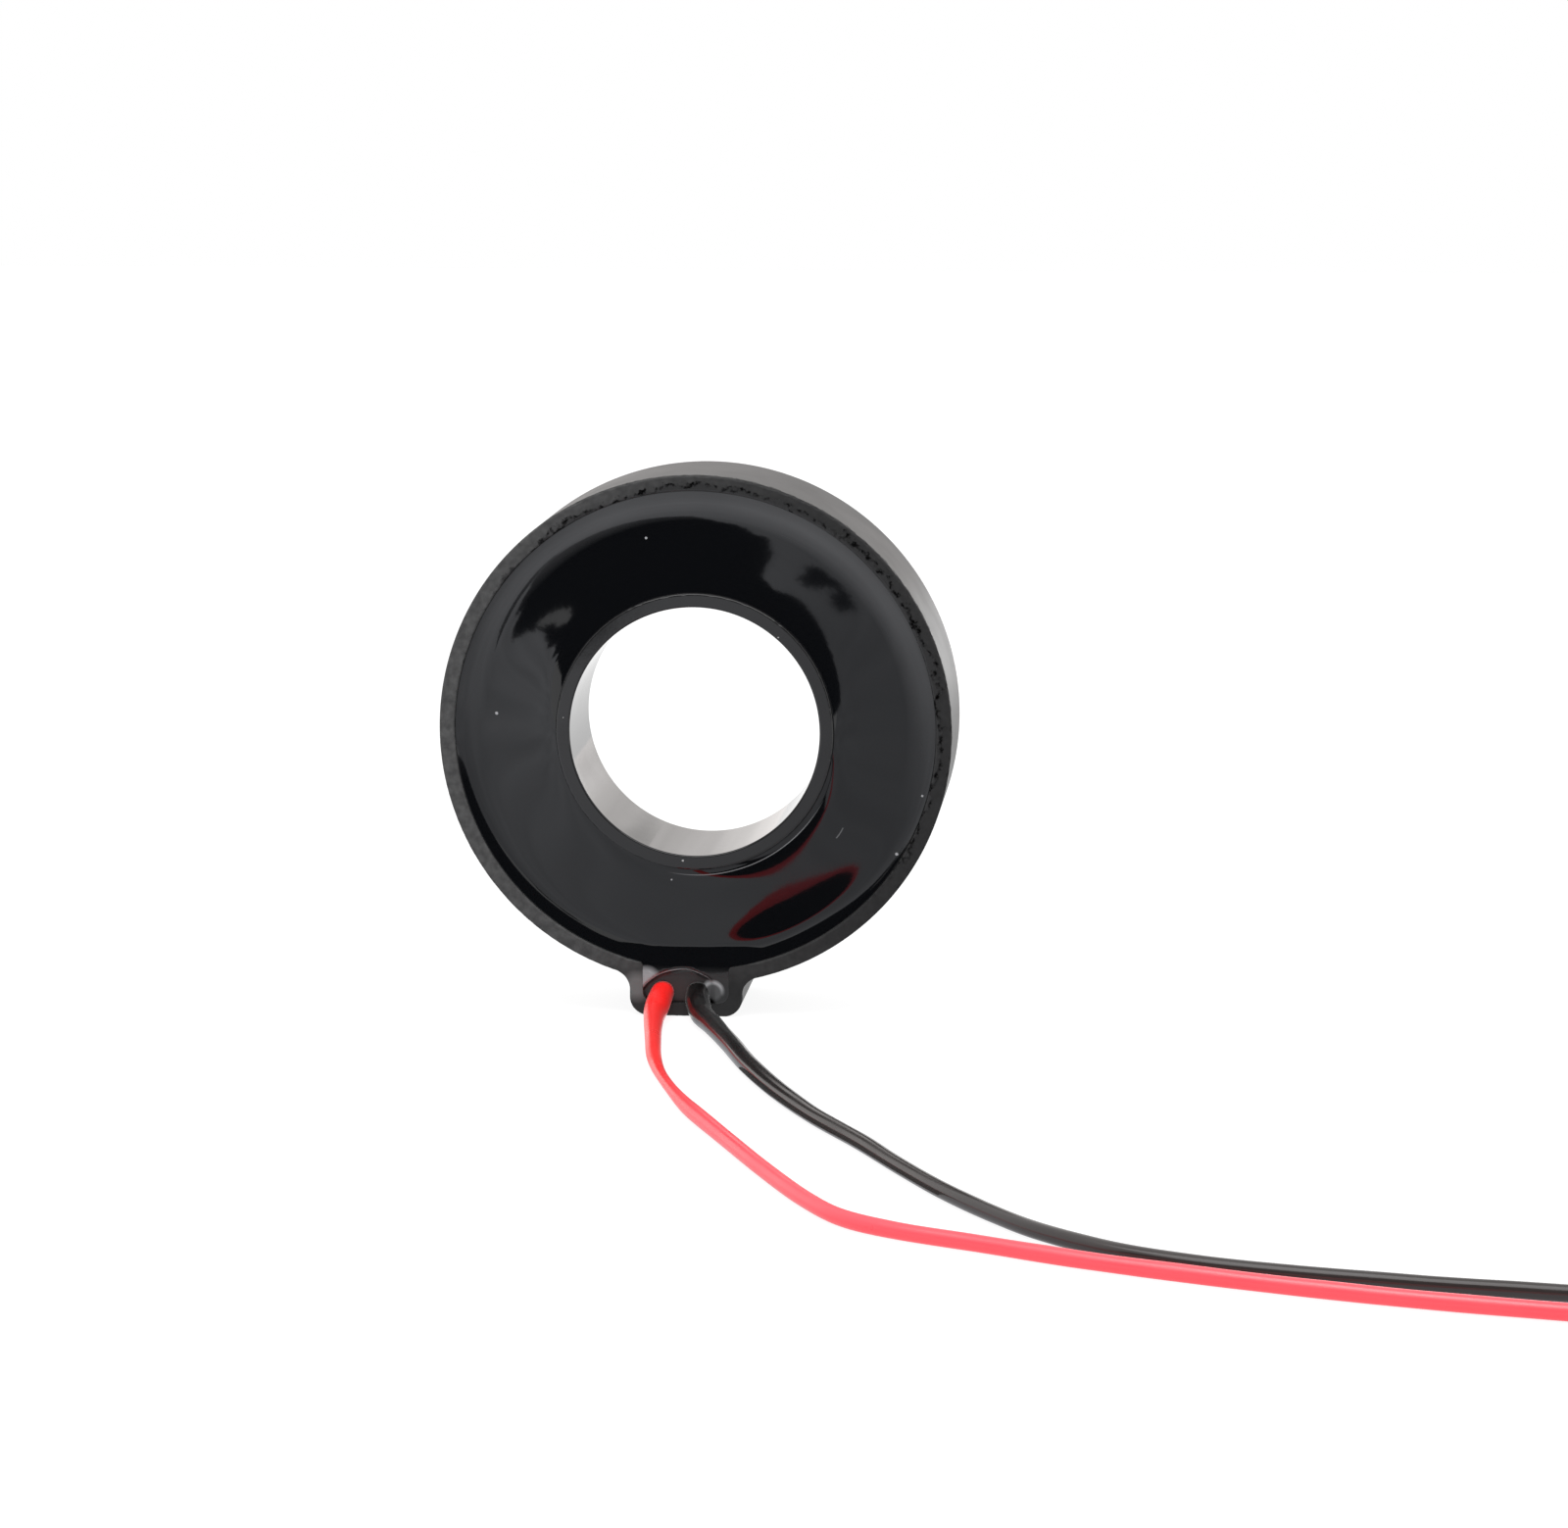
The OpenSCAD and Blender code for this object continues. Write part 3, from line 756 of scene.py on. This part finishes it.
def rim_masks(made, sizes, flake, torn):
    """Where the cup's rim, its bare part and its black flecks lie, as masks.

    The rim takes in the front face and a flaky strip of the outer wall. A skin of resin laps
    over its inner part, most at the upper right. The skin ends in a torn edge with flecks,
    and past it the rim is bare.
    """
    front, depth, up = -sizes.depth / 2, made.place[1], made.towards(50)
    face = made.span(depth, front + 0.00008, front + 0.0002, 1.0, 0.0)
    edge = made.math("MULTIPLY_ADD", flake, 0.0016, depth)
    rim = made.times(made.span(edge, front + 0.0012, front + 0.00135, 1.0, 0.0),
                     made.most(face, made.span(made.away, 0.0095, 0.01, 0.0, 1.0)))
    skin = made.math("SUBTRACT", made.math("MULTIPLY_ADD", torn, 0.0024, made.away),
                     made.span(up, -0.5, 0.8, 0.0164, 0.0171))
    at_edge = made.math("SUBTRACT", 1.3, made.times(6000.0, made.math("ABSOLUTE", skin)),
                        clamp=True)
    fleck = made.times(at_edge, made.span(flake, 0.42, 0.55, 0.0, 1.0), face,
                       made.span(up, -0.4, 0.3, 0.0, 1.0))
    return rim, made.times(rim, made.span(skin, -0.00006, 0.0, 0.0, 1.0)), fleck


def cup_plastic(finishes, sizes):
    """Black moulded plastic: satin walls and a dull rim.

    The bare rim is palest on the left as a painted reflection, with a pale patch beside the red
    lead.
    Towards the right and in the lug it is darker as painted shade, and its gloss is taken down.
    """
    made = Finish("case_plastic", IOR=1.5)
    grain = made.effect(fine_grain, Scale=2600.0, Coarse=0.6)
    flake = made.noise(made.where, 1900.0, Detail=4.0)
    torn = made.noise(made.where, 700.0, Detail=8.0, Roughness=0.75)
    rim, bare, fleck = rim_masks(made, sizes, flake, torn)
    dust = made.effect(dust_specks, Scale=1300.0, Size=0.1, Amount=0.05)["Mask"]
    pale_patch = made.spot(RIM_PALE_PATCH_AT, 0.0008, 0.0007)["Disc"]
    right = made.towards(5)
    lug = made.span(made.place[2], -0.0152, -0.0164, 0.0, 1.0)
    # Painted light on the bare rim: paler towards the left as a painted reflection, and darker
    # towards the right and in the lug as painted shade, over random patches.
    patchy_and_painted_light = made.times(made.span(flake, 0.35, 0.65, 0.4, 1.3),
                        made.span(right, -1.0, 0.5, 0.03, 0.006),
                        made.span(lug, 0.0, 1.0, 1.0, 0.3))
    pale_and_painted_light = made.times(bare, made.math("MULTIPLY_ADD", pale_patch, 0.1, patchy_and_painted_light))
    base = made.mix(pale_and_painted_light, finishes.cup, (1.0, 1.0, 1.0))
    base = made.mix(made.times(dust, rim), base, (0.3, 0.3, 0.3))
    # Painted shade: towards the right and in the lug a metallic share takes the bare rim's gloss
    # down.
    painted_shade = made.times(bare, made.most(made.span(right, -0.6, 0.6, 0.0, 0.45),
                                     made.times(lug, 0.35)))
    rough = made.math("ADD", made.span(grain["Mask"], 0.3, 0.7, 0.05, 0.09),
                      made.span(made.away, 0.01, 0.015, 0.0, 0.36))
    made.feed(Base_Color=made.mix(fleck, base, (0.002, 0.002, 0.002)),
              Metallic=made.most(painted_shade, fleck),
              Roughness=made.math("MULTIPLY_ADD", bare, 0.3, rough))
    made.bump(made.math("MULTIPLY_ADD", made.times(torn, bare), 9.0, grain["Height"]), 0.06)
    return made.material


def lug_highlights_and_patch(made, resin, grain):
    """Marks in the lug: pale lines round the hollow and drop as painted highlights, and a pale
    patch.
    """
    x, _, z = made.place
    hollow = made.spot(HOLLOW_AT, resin.hollow_r + 0.00005, 0.00006)
    bead = made.spot(BEAD_AT, 0.0006, 0.00022)
    pale_patch = made.spot(RESIN_PALE_PATCH_AT, 0.00095, 0.0004)
    # Painted highlights: pale lines round the hollow's upper edge and round the drop, and a faint
    # pale disc on the drop. Then the pale patch.
    return made.most(
        made.times(hollow["Line"], made.span(z, -0.0173, -0.0168, 0.0, 0.3),
                   made.span(x, 0.0008, 0.0011, 1.0, 0.0)),
        made.times(bead["Line"], made.span(z, -0.0173, -0.0166, 0.0, 0.3)),
        made.times(bead["Disc"], 0.05),
        made.times(pale_patch["Disc"], made.math("SUBTRACT", 1.0, hollow["Disc"]),
                   made.span(grain["Height"], 0.8, 1.6, 0.08, 0.3)))


def resin_finish(finishes, sizes, resin):
    """Black poured resin: glossy, with dust, hairlines, painted highlights and a pale patch.

    A pale band lies along the upper part of the outer wall, and a thin pale line runs
    along the lower right of the tube. In the lug the resin is duller, with a painted red
    reflection in it.
    """
    made = Finish("potting_resin", IOR=1.5)
    grain = made.effect(fine_grain, Scale=500.0, Coarse=2.0)
    dust = made.effect(dust_specks, Scale=620.0, Size=0.06, Amount=0.09)["Mask"]
    lines = made.effect(hairlines, Scale=90.0, Amount=0.3)["Mask"]
    tube = made.spot((0, 0), sizes.bore_d / 2 + sizes.tube_wall + 0.0004, 0.00005)["Line"]
    # A pale band along the upper part of the outer wall.
    pale_band = made.times(made.span(made.towards(85), -0.3, 1.0, 0.0, 0.05),
                       made.span(made.away, 0.0136, 0.0147, 0.0, 1.0),
                       made.span(grain["Mask"], 0.3, 0.7, 0.6, 1.3))
    # Marks and painted highlights: dust, hairlines, the pale line by the tube, the lug's painted
    # highlights and pale patch, and the pale band.
    marks_and_highlights = made.most(made.times(dust, 0.3), made.times(lines, 0.08),
                      made.times(tube, made.span(made.towards(-64), 0.8, 0.95, 0.0, 0.2)),
                      lug_highlights_and_patch(made, resin, grain), pale_band)
    lug = made.span(made.place[2], -0.0153, -0.0161, 0.0, 0.4)
    # A painted red reflection between the leads.
    shine = made.spot(RED_SHINE_AT, 0.0007, 0.0006)["Disc"]
    base = made.mix(shine, finishes.resin, (0.012, 0.004, 0.004))
    base = made.mix(made.times(lug, 0.05), base, (1.0, 1.0, 1.0))
    made.feed(Base_Color=made.mix(marks_and_highlights, base, (0.95, 0.96, 1.0)),
              Roughness=made.most(made.span(grain["Mask"], 0.3, 0.7, 0.02, 0.06), lug,
                                  made.times(marks_and_highlights, 1.2)))
    made.bump(grain["Height"], 0.06)
    return made.material


def soft_plastic(name, tone, pale_and_painted_light, roughness, sheen, painted_shade=0.0):
    """Soft insulation: paler away from the case and in slow patches as painted light, with a fine
    grain.

    Near the case the gloss is taken down by the given share, as painted shade.
    """
    made = Finish(name, IOR=1.5, Sheen_Weight=sheen, Sheen_Roughness=0.3)
    grain = made.effect(fine_grain, Scale=1800.0, Coarse=0.8)
    slow = made.noise(made.where, 70.0, Detail=2.0)
    along = made.math("MULTIPLY_ADD", slow, -0.016, made.place[1])
    # Painted light: the tone goes over to the pale tone away from the case, and near the case a
    # metallic share darkens it as painted shade.
    made.feed(Base_Color=made.mix(made.span(along, -0.03, -0.046, 0.0, 1.0), tone, pale_and_painted_light),
              Metallic=made.span(along, -0.022, -0.04, painted_shade, 0.0),
              Roughness=made.span(grain["Mask"], 0.3, 0.7, roughness - 0.05, roughness + 0.07))
    made.bump(grain["Height"], 0.1)
    return made.material


def bare_metal(name, tone, roughness, scale):
    """Bare metal with fine unevenness in its tone and gloss."""
    made = Finish(name, Metallic=1.0)
    grain = made.effect(fine_grain, Scale=scale, Coarse=0.8)
    dark = [0.72 * share for share in tone]
    made.feed(Base_Color=made.mix(made.span(grain["Mask"], 0.3, 0.7, 0.0, 1.0), dark, tone),
              Roughness=made.span(grain["Height"], 0.3, 0.9, roughness - 0.07, roughness + 0.1))
    made.bump(grain["Height"], 0.2)
    return made.material


def wound_strip():
    """A wound strip core: fine concentric turns of bright steel seen on its ends."""
    made = Finish("core_strip", Metallic=1.0)
    turns = made.math("SINE", made.times(made.away, 2 * math.pi / 0.00025))
    grain = made.effect(fine_grain, Scale=1500.0, Coarse=0.5)
    tone = made.span(turns, -1.0, 1.0, 0.0, 1.0)
    made.feed(Base_Color=made.mix(tone, (0.2, 0.2, 0.22), (0.56, 0.57, 0.6)),
              Roughness=made.span(grain["Mask"], 0.3, 0.7, 0.25, 0.4))
    made.bump(turns, 0.4)
    return made.material


def enamelled(name, turns):
    """Enamelled copper: round turns side by side round the ring, as a height and a tone."""
    made = Finish(name, Metallic=0.9, Coat_Weight=0.8)
    wave = made.math("ABSOLUTE", made.math("SINE", made.times(made.angle, turns / 2)))
    grain = made.effect(fine_grain, Scale=900.0, Coarse=0.6)
    # Painted shade: the tone darkens into the grooves between the turns.
    made.feed(Base_Color=made.mix(wave, (0.16, 0.035, 0.012), (0.78, 0.27, 0.1)),
              Roughness=made.span(grain["Mask"], 0.3, 0.7, 0.2, 0.35))
    made.bump(wave, 0.8, distance=0.0001)
    return made.material


def lapped_tape(name, tone, laps):
    """Film tape wound round the ring: overlapping laps with a step and a darker seam each."""
    made = Finish(name, IOR=1.5)
    lap = made.math("FRACT", made.times(made.angle, laps / (2 * math.pi)))
    grain = made.effect(fine_grain, Scale=700.0, Coarse=1.0)
    dark = [0.6 * share for share in tone]
    made.feed(Base_Color=made.mix(made.span(lap, 0.0, 0.12, 1.0, 0.0), tone, dark),
              Roughness=made.span(grain["Mask"], 0.3, 0.7, 0.15, 0.3))
    made.bump(made.math("MULTIPLY_ADD", grain["Height"], 0.3, lap), 0.5, distance=0.00012)
    return made.material


def glow(name, tone, strength):
    """A card's finish: an even glow, with no colour or gloss of its own."""
    return Finish(name, **CARD, Emission_Color=(*tone, 1), Emission_Strength=strength).material


def fading_glow(name, tone, axis, start, end, low, high):
    """A card whose glow goes from one strength to another along an axis, with clouds.

    The shader's strength stays full, and its colour is dimmed to give the glow.
    """
    made = Finish(name, **CARD, Emission_Strength=FULL_GLOW)
    clouds = made.noise(made.where, 60.0, Detail=2.0)
    strength = made.times(made.span(made.place[axis], start, end, low, high),
                          made.span(clouds, 0.3, 0.7, 0.88, 1.1))
    made.feed(Emission_Color=made.mix(made.times(strength, 1 / FULL_GLOW), (0, 0, 0), tone))
    return made.material


def dress(piece, material):
    """Gives a new piece its material in a slot, and seats it on the body."""
    piece.data.materials.append(material)
    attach(piece, "root")


def dress_nodes(names, material):
    """Puts one material on carried-over CAD nodes."""
    for name in names:
        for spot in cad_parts[name].material_slots:
            spot.material = material


# ---------------------------------------------------------------- operators

class TRANSFORMER_OT_camera(bpy.types.Operator):
    """Make the camera that looks at the resin's face from a little above and to the right"""
    bl_idname = "transformer.camera"
    bl_label = "Camera"

    def execute(self, context):
        back = Vector((math.sin(CAMERA_TURN) * math.cos(CAMERA_LIFT),
                       -math.cos(CAMERA_TURN) * math.cos(CAMERA_LIFT), math.sin(CAMERA_LIFT)))
        right = Vector((0, 0, 1)).cross(back).normalized()
        data = bpy.data.cameras.new("camera")
        data.sensor_width, data.lens = CAMERA_SENSOR, CAMERA_LENS
        data.clip_start, data.clip_end = 0.01, 10
        camera = bpy.data.objects.new("camera", data)
        context.scene.collection.objects.link(camera)
        turned = Matrix((right, back.cross(right), back)).transposed().to_4x4()
        camera.matrix_world = Matrix.Translation(CAMERA_AT) @ turned
        context.scene.camera = camera
        return {"FINISHED"}


class TRANSFORMER_OT_leads(bpy.types.Operator):
    """Make the red and the black lead, their roots in the resin and their tinned ends"""
    bl_idname = "transformer.leads"
    bl_label = "Leads"

    def execute(self, context):
        finishes = context.scene.finishes
        tin = bare_metal("tinned_copper", finishes.tin, 0.3, 1500.0)
        red = soft_plastic("red_insulation", finishes.red, (0.95, 0.07, 0.095), 0.3, 0.15)
        black = soft_plastic("black_insulation", finishes.black, (0.03, 0.026, 0.025), 0.18,
                             0.15, painted_shade=0.8)
        for name, route, widths, insulation in (("red", RED_ROUTE, RED_WIDTHS, red),
                                                ("black", BLACK_ROUTE, BLACK_WIDTHS, black)):
            self.make_lead(context.scene.lead_sizes, name, route, widths, insulation, tin)
        return {"FINISHED"}

    def make_lead(self, sizes, name, route, widths, insulation, tin):
        """One lead: its free length on the ground, its buried root and its bare strands."""
        plain = sizes.lead_d / 2
        leave = np.array([0, -math.sin(BEND_ANGLE), -math.cos(BEND_ANGLE)])
        line, along = soft_line(np.array(route) * MM, LEAD_STEP)
        swelling = SWELLING * waves(line, SWELLING_SIZE, 3) * np.clip(along / SWELLING_START, 0, 1)
        radius = lead_radius(along, widths, plain) * (1 + swelling)
        line[:, 2] -= sizes.droop * np.exp(-(along / DROOP_REACH) ** 2)
        line[:, 2] = np.maximum(line[:, 2], CASE_LOW.z + radius)
        rings = tube_rings(line, radius, LEAD_SIDES, start=leave)
        rings[..., 2] = np.maximum(rings[..., 2], CASE_LOW.z)
        lead = tube_object(name + "_lead_skin", rings)
        dress(lead, insulation)
        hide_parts(name + "_lead")

        root_line = bend_line(route[0][0] * MM)
        root = tube_object(name + "_root", tube_rings(root_line, plain, LEAD_SIDES, up=(1, 0, 0)))
        dress(root, insulation)
        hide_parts(name + "_tail")

        strands = strands_object(name + "_strands", line, sizes)
        dress(strands, tin)
        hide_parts(name + "_tip")
        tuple(line[0])


class TRANSFORMER_OT_cup(bpy.types.Operator):
    """Make the black moulded cup with its lug"""
    bl_idname = "transformer.cup"
    bl_label = "Cup"

    def execute(self, context):
        sizes = context.scene.cup_sizes
        cup = ring_object("cup", cup_rings(sizes))
        dress(cup, cup_plastic(context.scene.finishes, sizes))
        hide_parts("case")
        return {"FINISHED"}


class TRANSFORMER_OT_resin(bpy.types.Operator):
    """Make the poured resin with its dished face and the hollow round the leads"""
    bl_idname = "transformer.resin"
    bl_label = "Resin"

    def execute(self, context):
        scene = context.scene
        resin = ring_object("resin", resin_rings(scene.cup_sizes, scene.resin_sizes))
        finish = resin_finish(scene.finishes, scene.cup_sizes, scene.resin_sizes)
        dress(resin, finish)
        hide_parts("potting")
        return {"FINISHED"}


class TRANSFORMER_OT_buried(bpy.types.Operator):
    """Give the wound core, its windings, tapes, joints and sleeves their finishes"""
    bl_idname = "transformer.buried"
    bl_label = "Buried pieces"

    def execute(self, context):
        dress_nodes(["core"], wound_strip())
        dress_nodes(["core_tape"], lapped_tape("core_tape", (0.8, 0.72, 0.4), 30))
        dress_nodes(["winding"], enamelled("enamelled_copper", 280))
        dress_nodes(["start_wire", "finish_wire"], enamelled("enamelled_wire", 12))
        dress_nodes(["winding_tape"], lapped_tape("winding_tape", (0.85, 0.62, 0.08), 26))
        solder = bare_metal("solder", (0.7, 0.7, 0.72), 0.25, 900.0)
        dress_nodes(["red_splice", "black_splice"], solder)
        for name, tone, pale_and_painted_light in (("red_sleeve", (0.5, 0.02, 0.015), (0.6, 0.04, 0.03)),
                                 ("black_sleeve", (0.012, 0.012, 0.012), (0.03, 0.03, 0.03))):
            dress_nodes([name], soft_plastic(name, tone, pale_and_painted_light, 0.3, 0.1))
        return {"FINISHED"}


class TRANSFORMER_OT_stage(bpy.types.Operator):
    """Make the plain pale floor, the soft light and the even white surroundings"""
    bl_idname = "transformer.stage"
    bl_label = "Stage"

    def execute(self, context):
        settings = context.scene.stage_settings
        self.floor(settings.floor_size / 2)
        self.dark_cards(glow("black_card", (0, 0, 0), 0), glow("white_card", (1, 1, 1), 1))
        self.bright_cards()
        self.lights(context.scene, settings)
        context.scene.view_settings.view_transform = "Standard"
        return {"FINISHED"}

    def floor(self, half):
        """The plain floor just under the part, lit mostly by its own even glow."""
        z = CASE_LOW.z - 0.00002
        corners = np.array([(-half, -half, z), (half, -half, z), (-half, half, z), (half, half, z)])
        floor = surface_object("floor", corners, grid_faces(2, 2))
        made = Finish("pale_floor", Roughness=0.9, IOR=1.3, Emission_Color=(1, 1, 1, 1),
                      Emission_Strength=0.89)
        grain = made.effect(fine_grain, Scale=400.0, Coarse=1.0)
        made.feed(Base_Color=made.mix(grain["Mask"], (0.15, 0.15, 0.15), (0.17, 0.17, 0.17)))
        floor.data.materials.append(made.material)

    def dark_cards(self, black, white):
        """Cards that the resin mirrors as dark forms.

        A large one in front has a ragged lower edge. A white island and two smudges hang
        before it, a foot lies on the ground, and one card fills the gap between the leads.
        """
        x = np.linspace(DARK_CARD_EDGE[0][0], DARK_CARD_EDGE[-1][0], 900)
        edge = np.interp(x, *np.transpose(DARK_CARD_EDGE)) + 0.7 * waves(x[:, None], 4, 3)
        rows = [np.stack(np.broadcast_arrays(x, DARK_CARD_Y, z), 1)
                for z in (np.maximum(edge, GROUND), DARK_CARD_TOP)]
        self.card("dark_card", rows, black)
        for name, middle, half, finish in (
                ("island", (-46.3, -193, -11), (1.5, 0, 2.4), white),
                ("smudge_a", (-3.9, -193, -8.3), (1.7, 0, 2.9), black),
                ("smudge_b", (-1, -193, -11), (1.7, 0, 1.8), black),
                ("foot", (-31, -179, -18.5), (3.2, 14, 0), black)):
            self.patch(name, middle, half, finish)
        between = [[(left[0] + 0.36, left[1], -17.93), (right[0], right[1], -18.3)]
                   for left, right in zip(RED_ROUTE[5:11], BLACK_ROUTE[5:11])]
        self.card("gap_card", between, black)

    def bright_cards(self):
        """Glowing cards: on the ground in front, upright behind, and level above."""
        low, far, near, top = GROUND - 0.012, 200, 199, 200
        self.card("front_glow", [[(-90, -600, low), (60, -600, low)],
                                 [(-90, -6, low), (60, -6, low)]],
                  fading_glow("front_glow", (0.94, 0.955, 1.0), 0, -0.045, 0.004, 1.2, 0.7))
        self.card("back_glow", [[(-400, far, GROUND), (400, far, GROUND)],
                                [(-400, far, 150), (400, far, 150)]],
                  fading_glow("back_glow", (1.0, 0.965, 0.945), 2, 0.0, 0.05, 1.35, 1.2))
        self.card("side_glow", [[(39, near, GROUND), (90, near, GROUND)],
                                [(42, near, 16), (90, near, 16)]],
                  glow("side_glow", (1, 1, 1), 3.2))
        self.card("high_glow", [[(5, near, 36), (32, near, 28)], [(5, near, 70), (32, near, 70)]],
                  glow("high_glow", (1, 0.97, 0.95), 0.85))
        self.card("top_glow", [[(-150, -260, top), (150, -260, top)],
                               [(-150, -40, top), (150, -40, top)]],
                  glow("top_glow", (1, 1, 1), 3))

    def patch(self, name, middle, half, finish):
        """A flat round patch with a ragged edge: its radius swells and shrinks with waves."""
        a = np.linspace(0, 2 * np.pi, 72, endpoint=False)
        spoke = np.stack([np.cos(a), np.sin(a), np.sin(a)], 1)
        swell = 1 + 0.3 * waves(spoke[:, :2], 1.1, len(name))
        rim = np.array(middle) + np.array(half) * spoke * swell[:, None]
        self.card(name, np.broadcast_arrays(rim, np.array(middle, float)), finish, closed=True)

    def card(self, name, rows, finish, closed=False):
        """A card from rows of points in millimetres, which shows in gloss only."""
        points = np.array(rows, float) * MM
        faces = grid_faces(*points.shape[:2], close_columns=closed)
        card = surface_object(name, points, faces)
        card.data.materials.append(finish)
        for ray in ("camera", "diffuse", "shadow", "transmission"):
            setattr(card, "visible_" + ray, False)

    def lights(self, scene, settings):
        """The soft box above and the even white surroundings."""
        box = bpy.data.lights.new("soft_box", "AREA")
        box.shape, box.size = "SQUARE", LAMP_SIZE
        box.energy = settings.lamp
        lamp = bpy.data.objects.new("soft_box", box)
        lamp.matrix_world = Matrix.Translation(LAMP_AT)
        scene.collection.objects.link(lamp)
        scene.world = bpy.data.worlds.new("white_surroundings")
        scene.world.use_nodes = True
        background = scene.world.node_tree.nodes["Background"].inputs
        background["Color"].default_value = (1, 1, 1, 1)
        background["Strength"].default_value = settings.sky


class TRANSFORMER_PT_panel(bpy.types.Panel):
    """Lists the pieces of the current transformer and its sizes"""
    bl_idname = "TRANSFORMER_PT_panel"
    bl_label = "Current transformer"
    bl_space_type = "VIEW_3D"
    bl_region_type = "UI"
    bl_category = "Transformer"

    def draw(self, context):
        for operator in OPERATORS:
            self.layout.operator(operator.bl_idname)
        for name, group in SETTINGS.items():
            box = self.layout.box()
            box.label(text=name.replace("_", " ").capitalize())
            for key in group.__annotations__:
                box.prop(getattr(context.scene, name), key)


SETTINGS = {"cup_sizes": CupSizes, "resin_sizes": ResinSizes, "lead_sizes": LeadSizes,
            "finishes": Finishes, "stage_settings": StageSettings}
OPERATORS = [TRANSFORMER_OT_camera, TRANSFORMER_OT_leads, TRANSFORMER_OT_cup,
             TRANSFORMER_OT_resin, TRANSFORMER_OT_buried, TRANSFORMER_OT_stage]
CLASSES = [*SETTINGS.values(), *OPERATORS, TRANSFORMER_PT_panel]


def register():
    """Registers the classes and gives the scene its settings."""
    for cls in CLASSES:
        bpy.utils.register_class(cls)
    for name, group in SETTINGS.items():
        setattr(bpy.types.Scene, name, PointerProperty(type=group))


def unregister():
    """Takes the settings and the classes away again."""
    for name in SETTINGS:
        delattr(bpy.types.Scene, name)
    for cls in reversed(CLASSES):
        bpy.utils.unregister_class(cls)


def main():
    register()
    for operator in OPERATORS:
        kind, name = operator.bl_idname.split(".")
        getattr(getattr(bpy.ops, kind), name)()


if __name__ == "__main__":
    main()
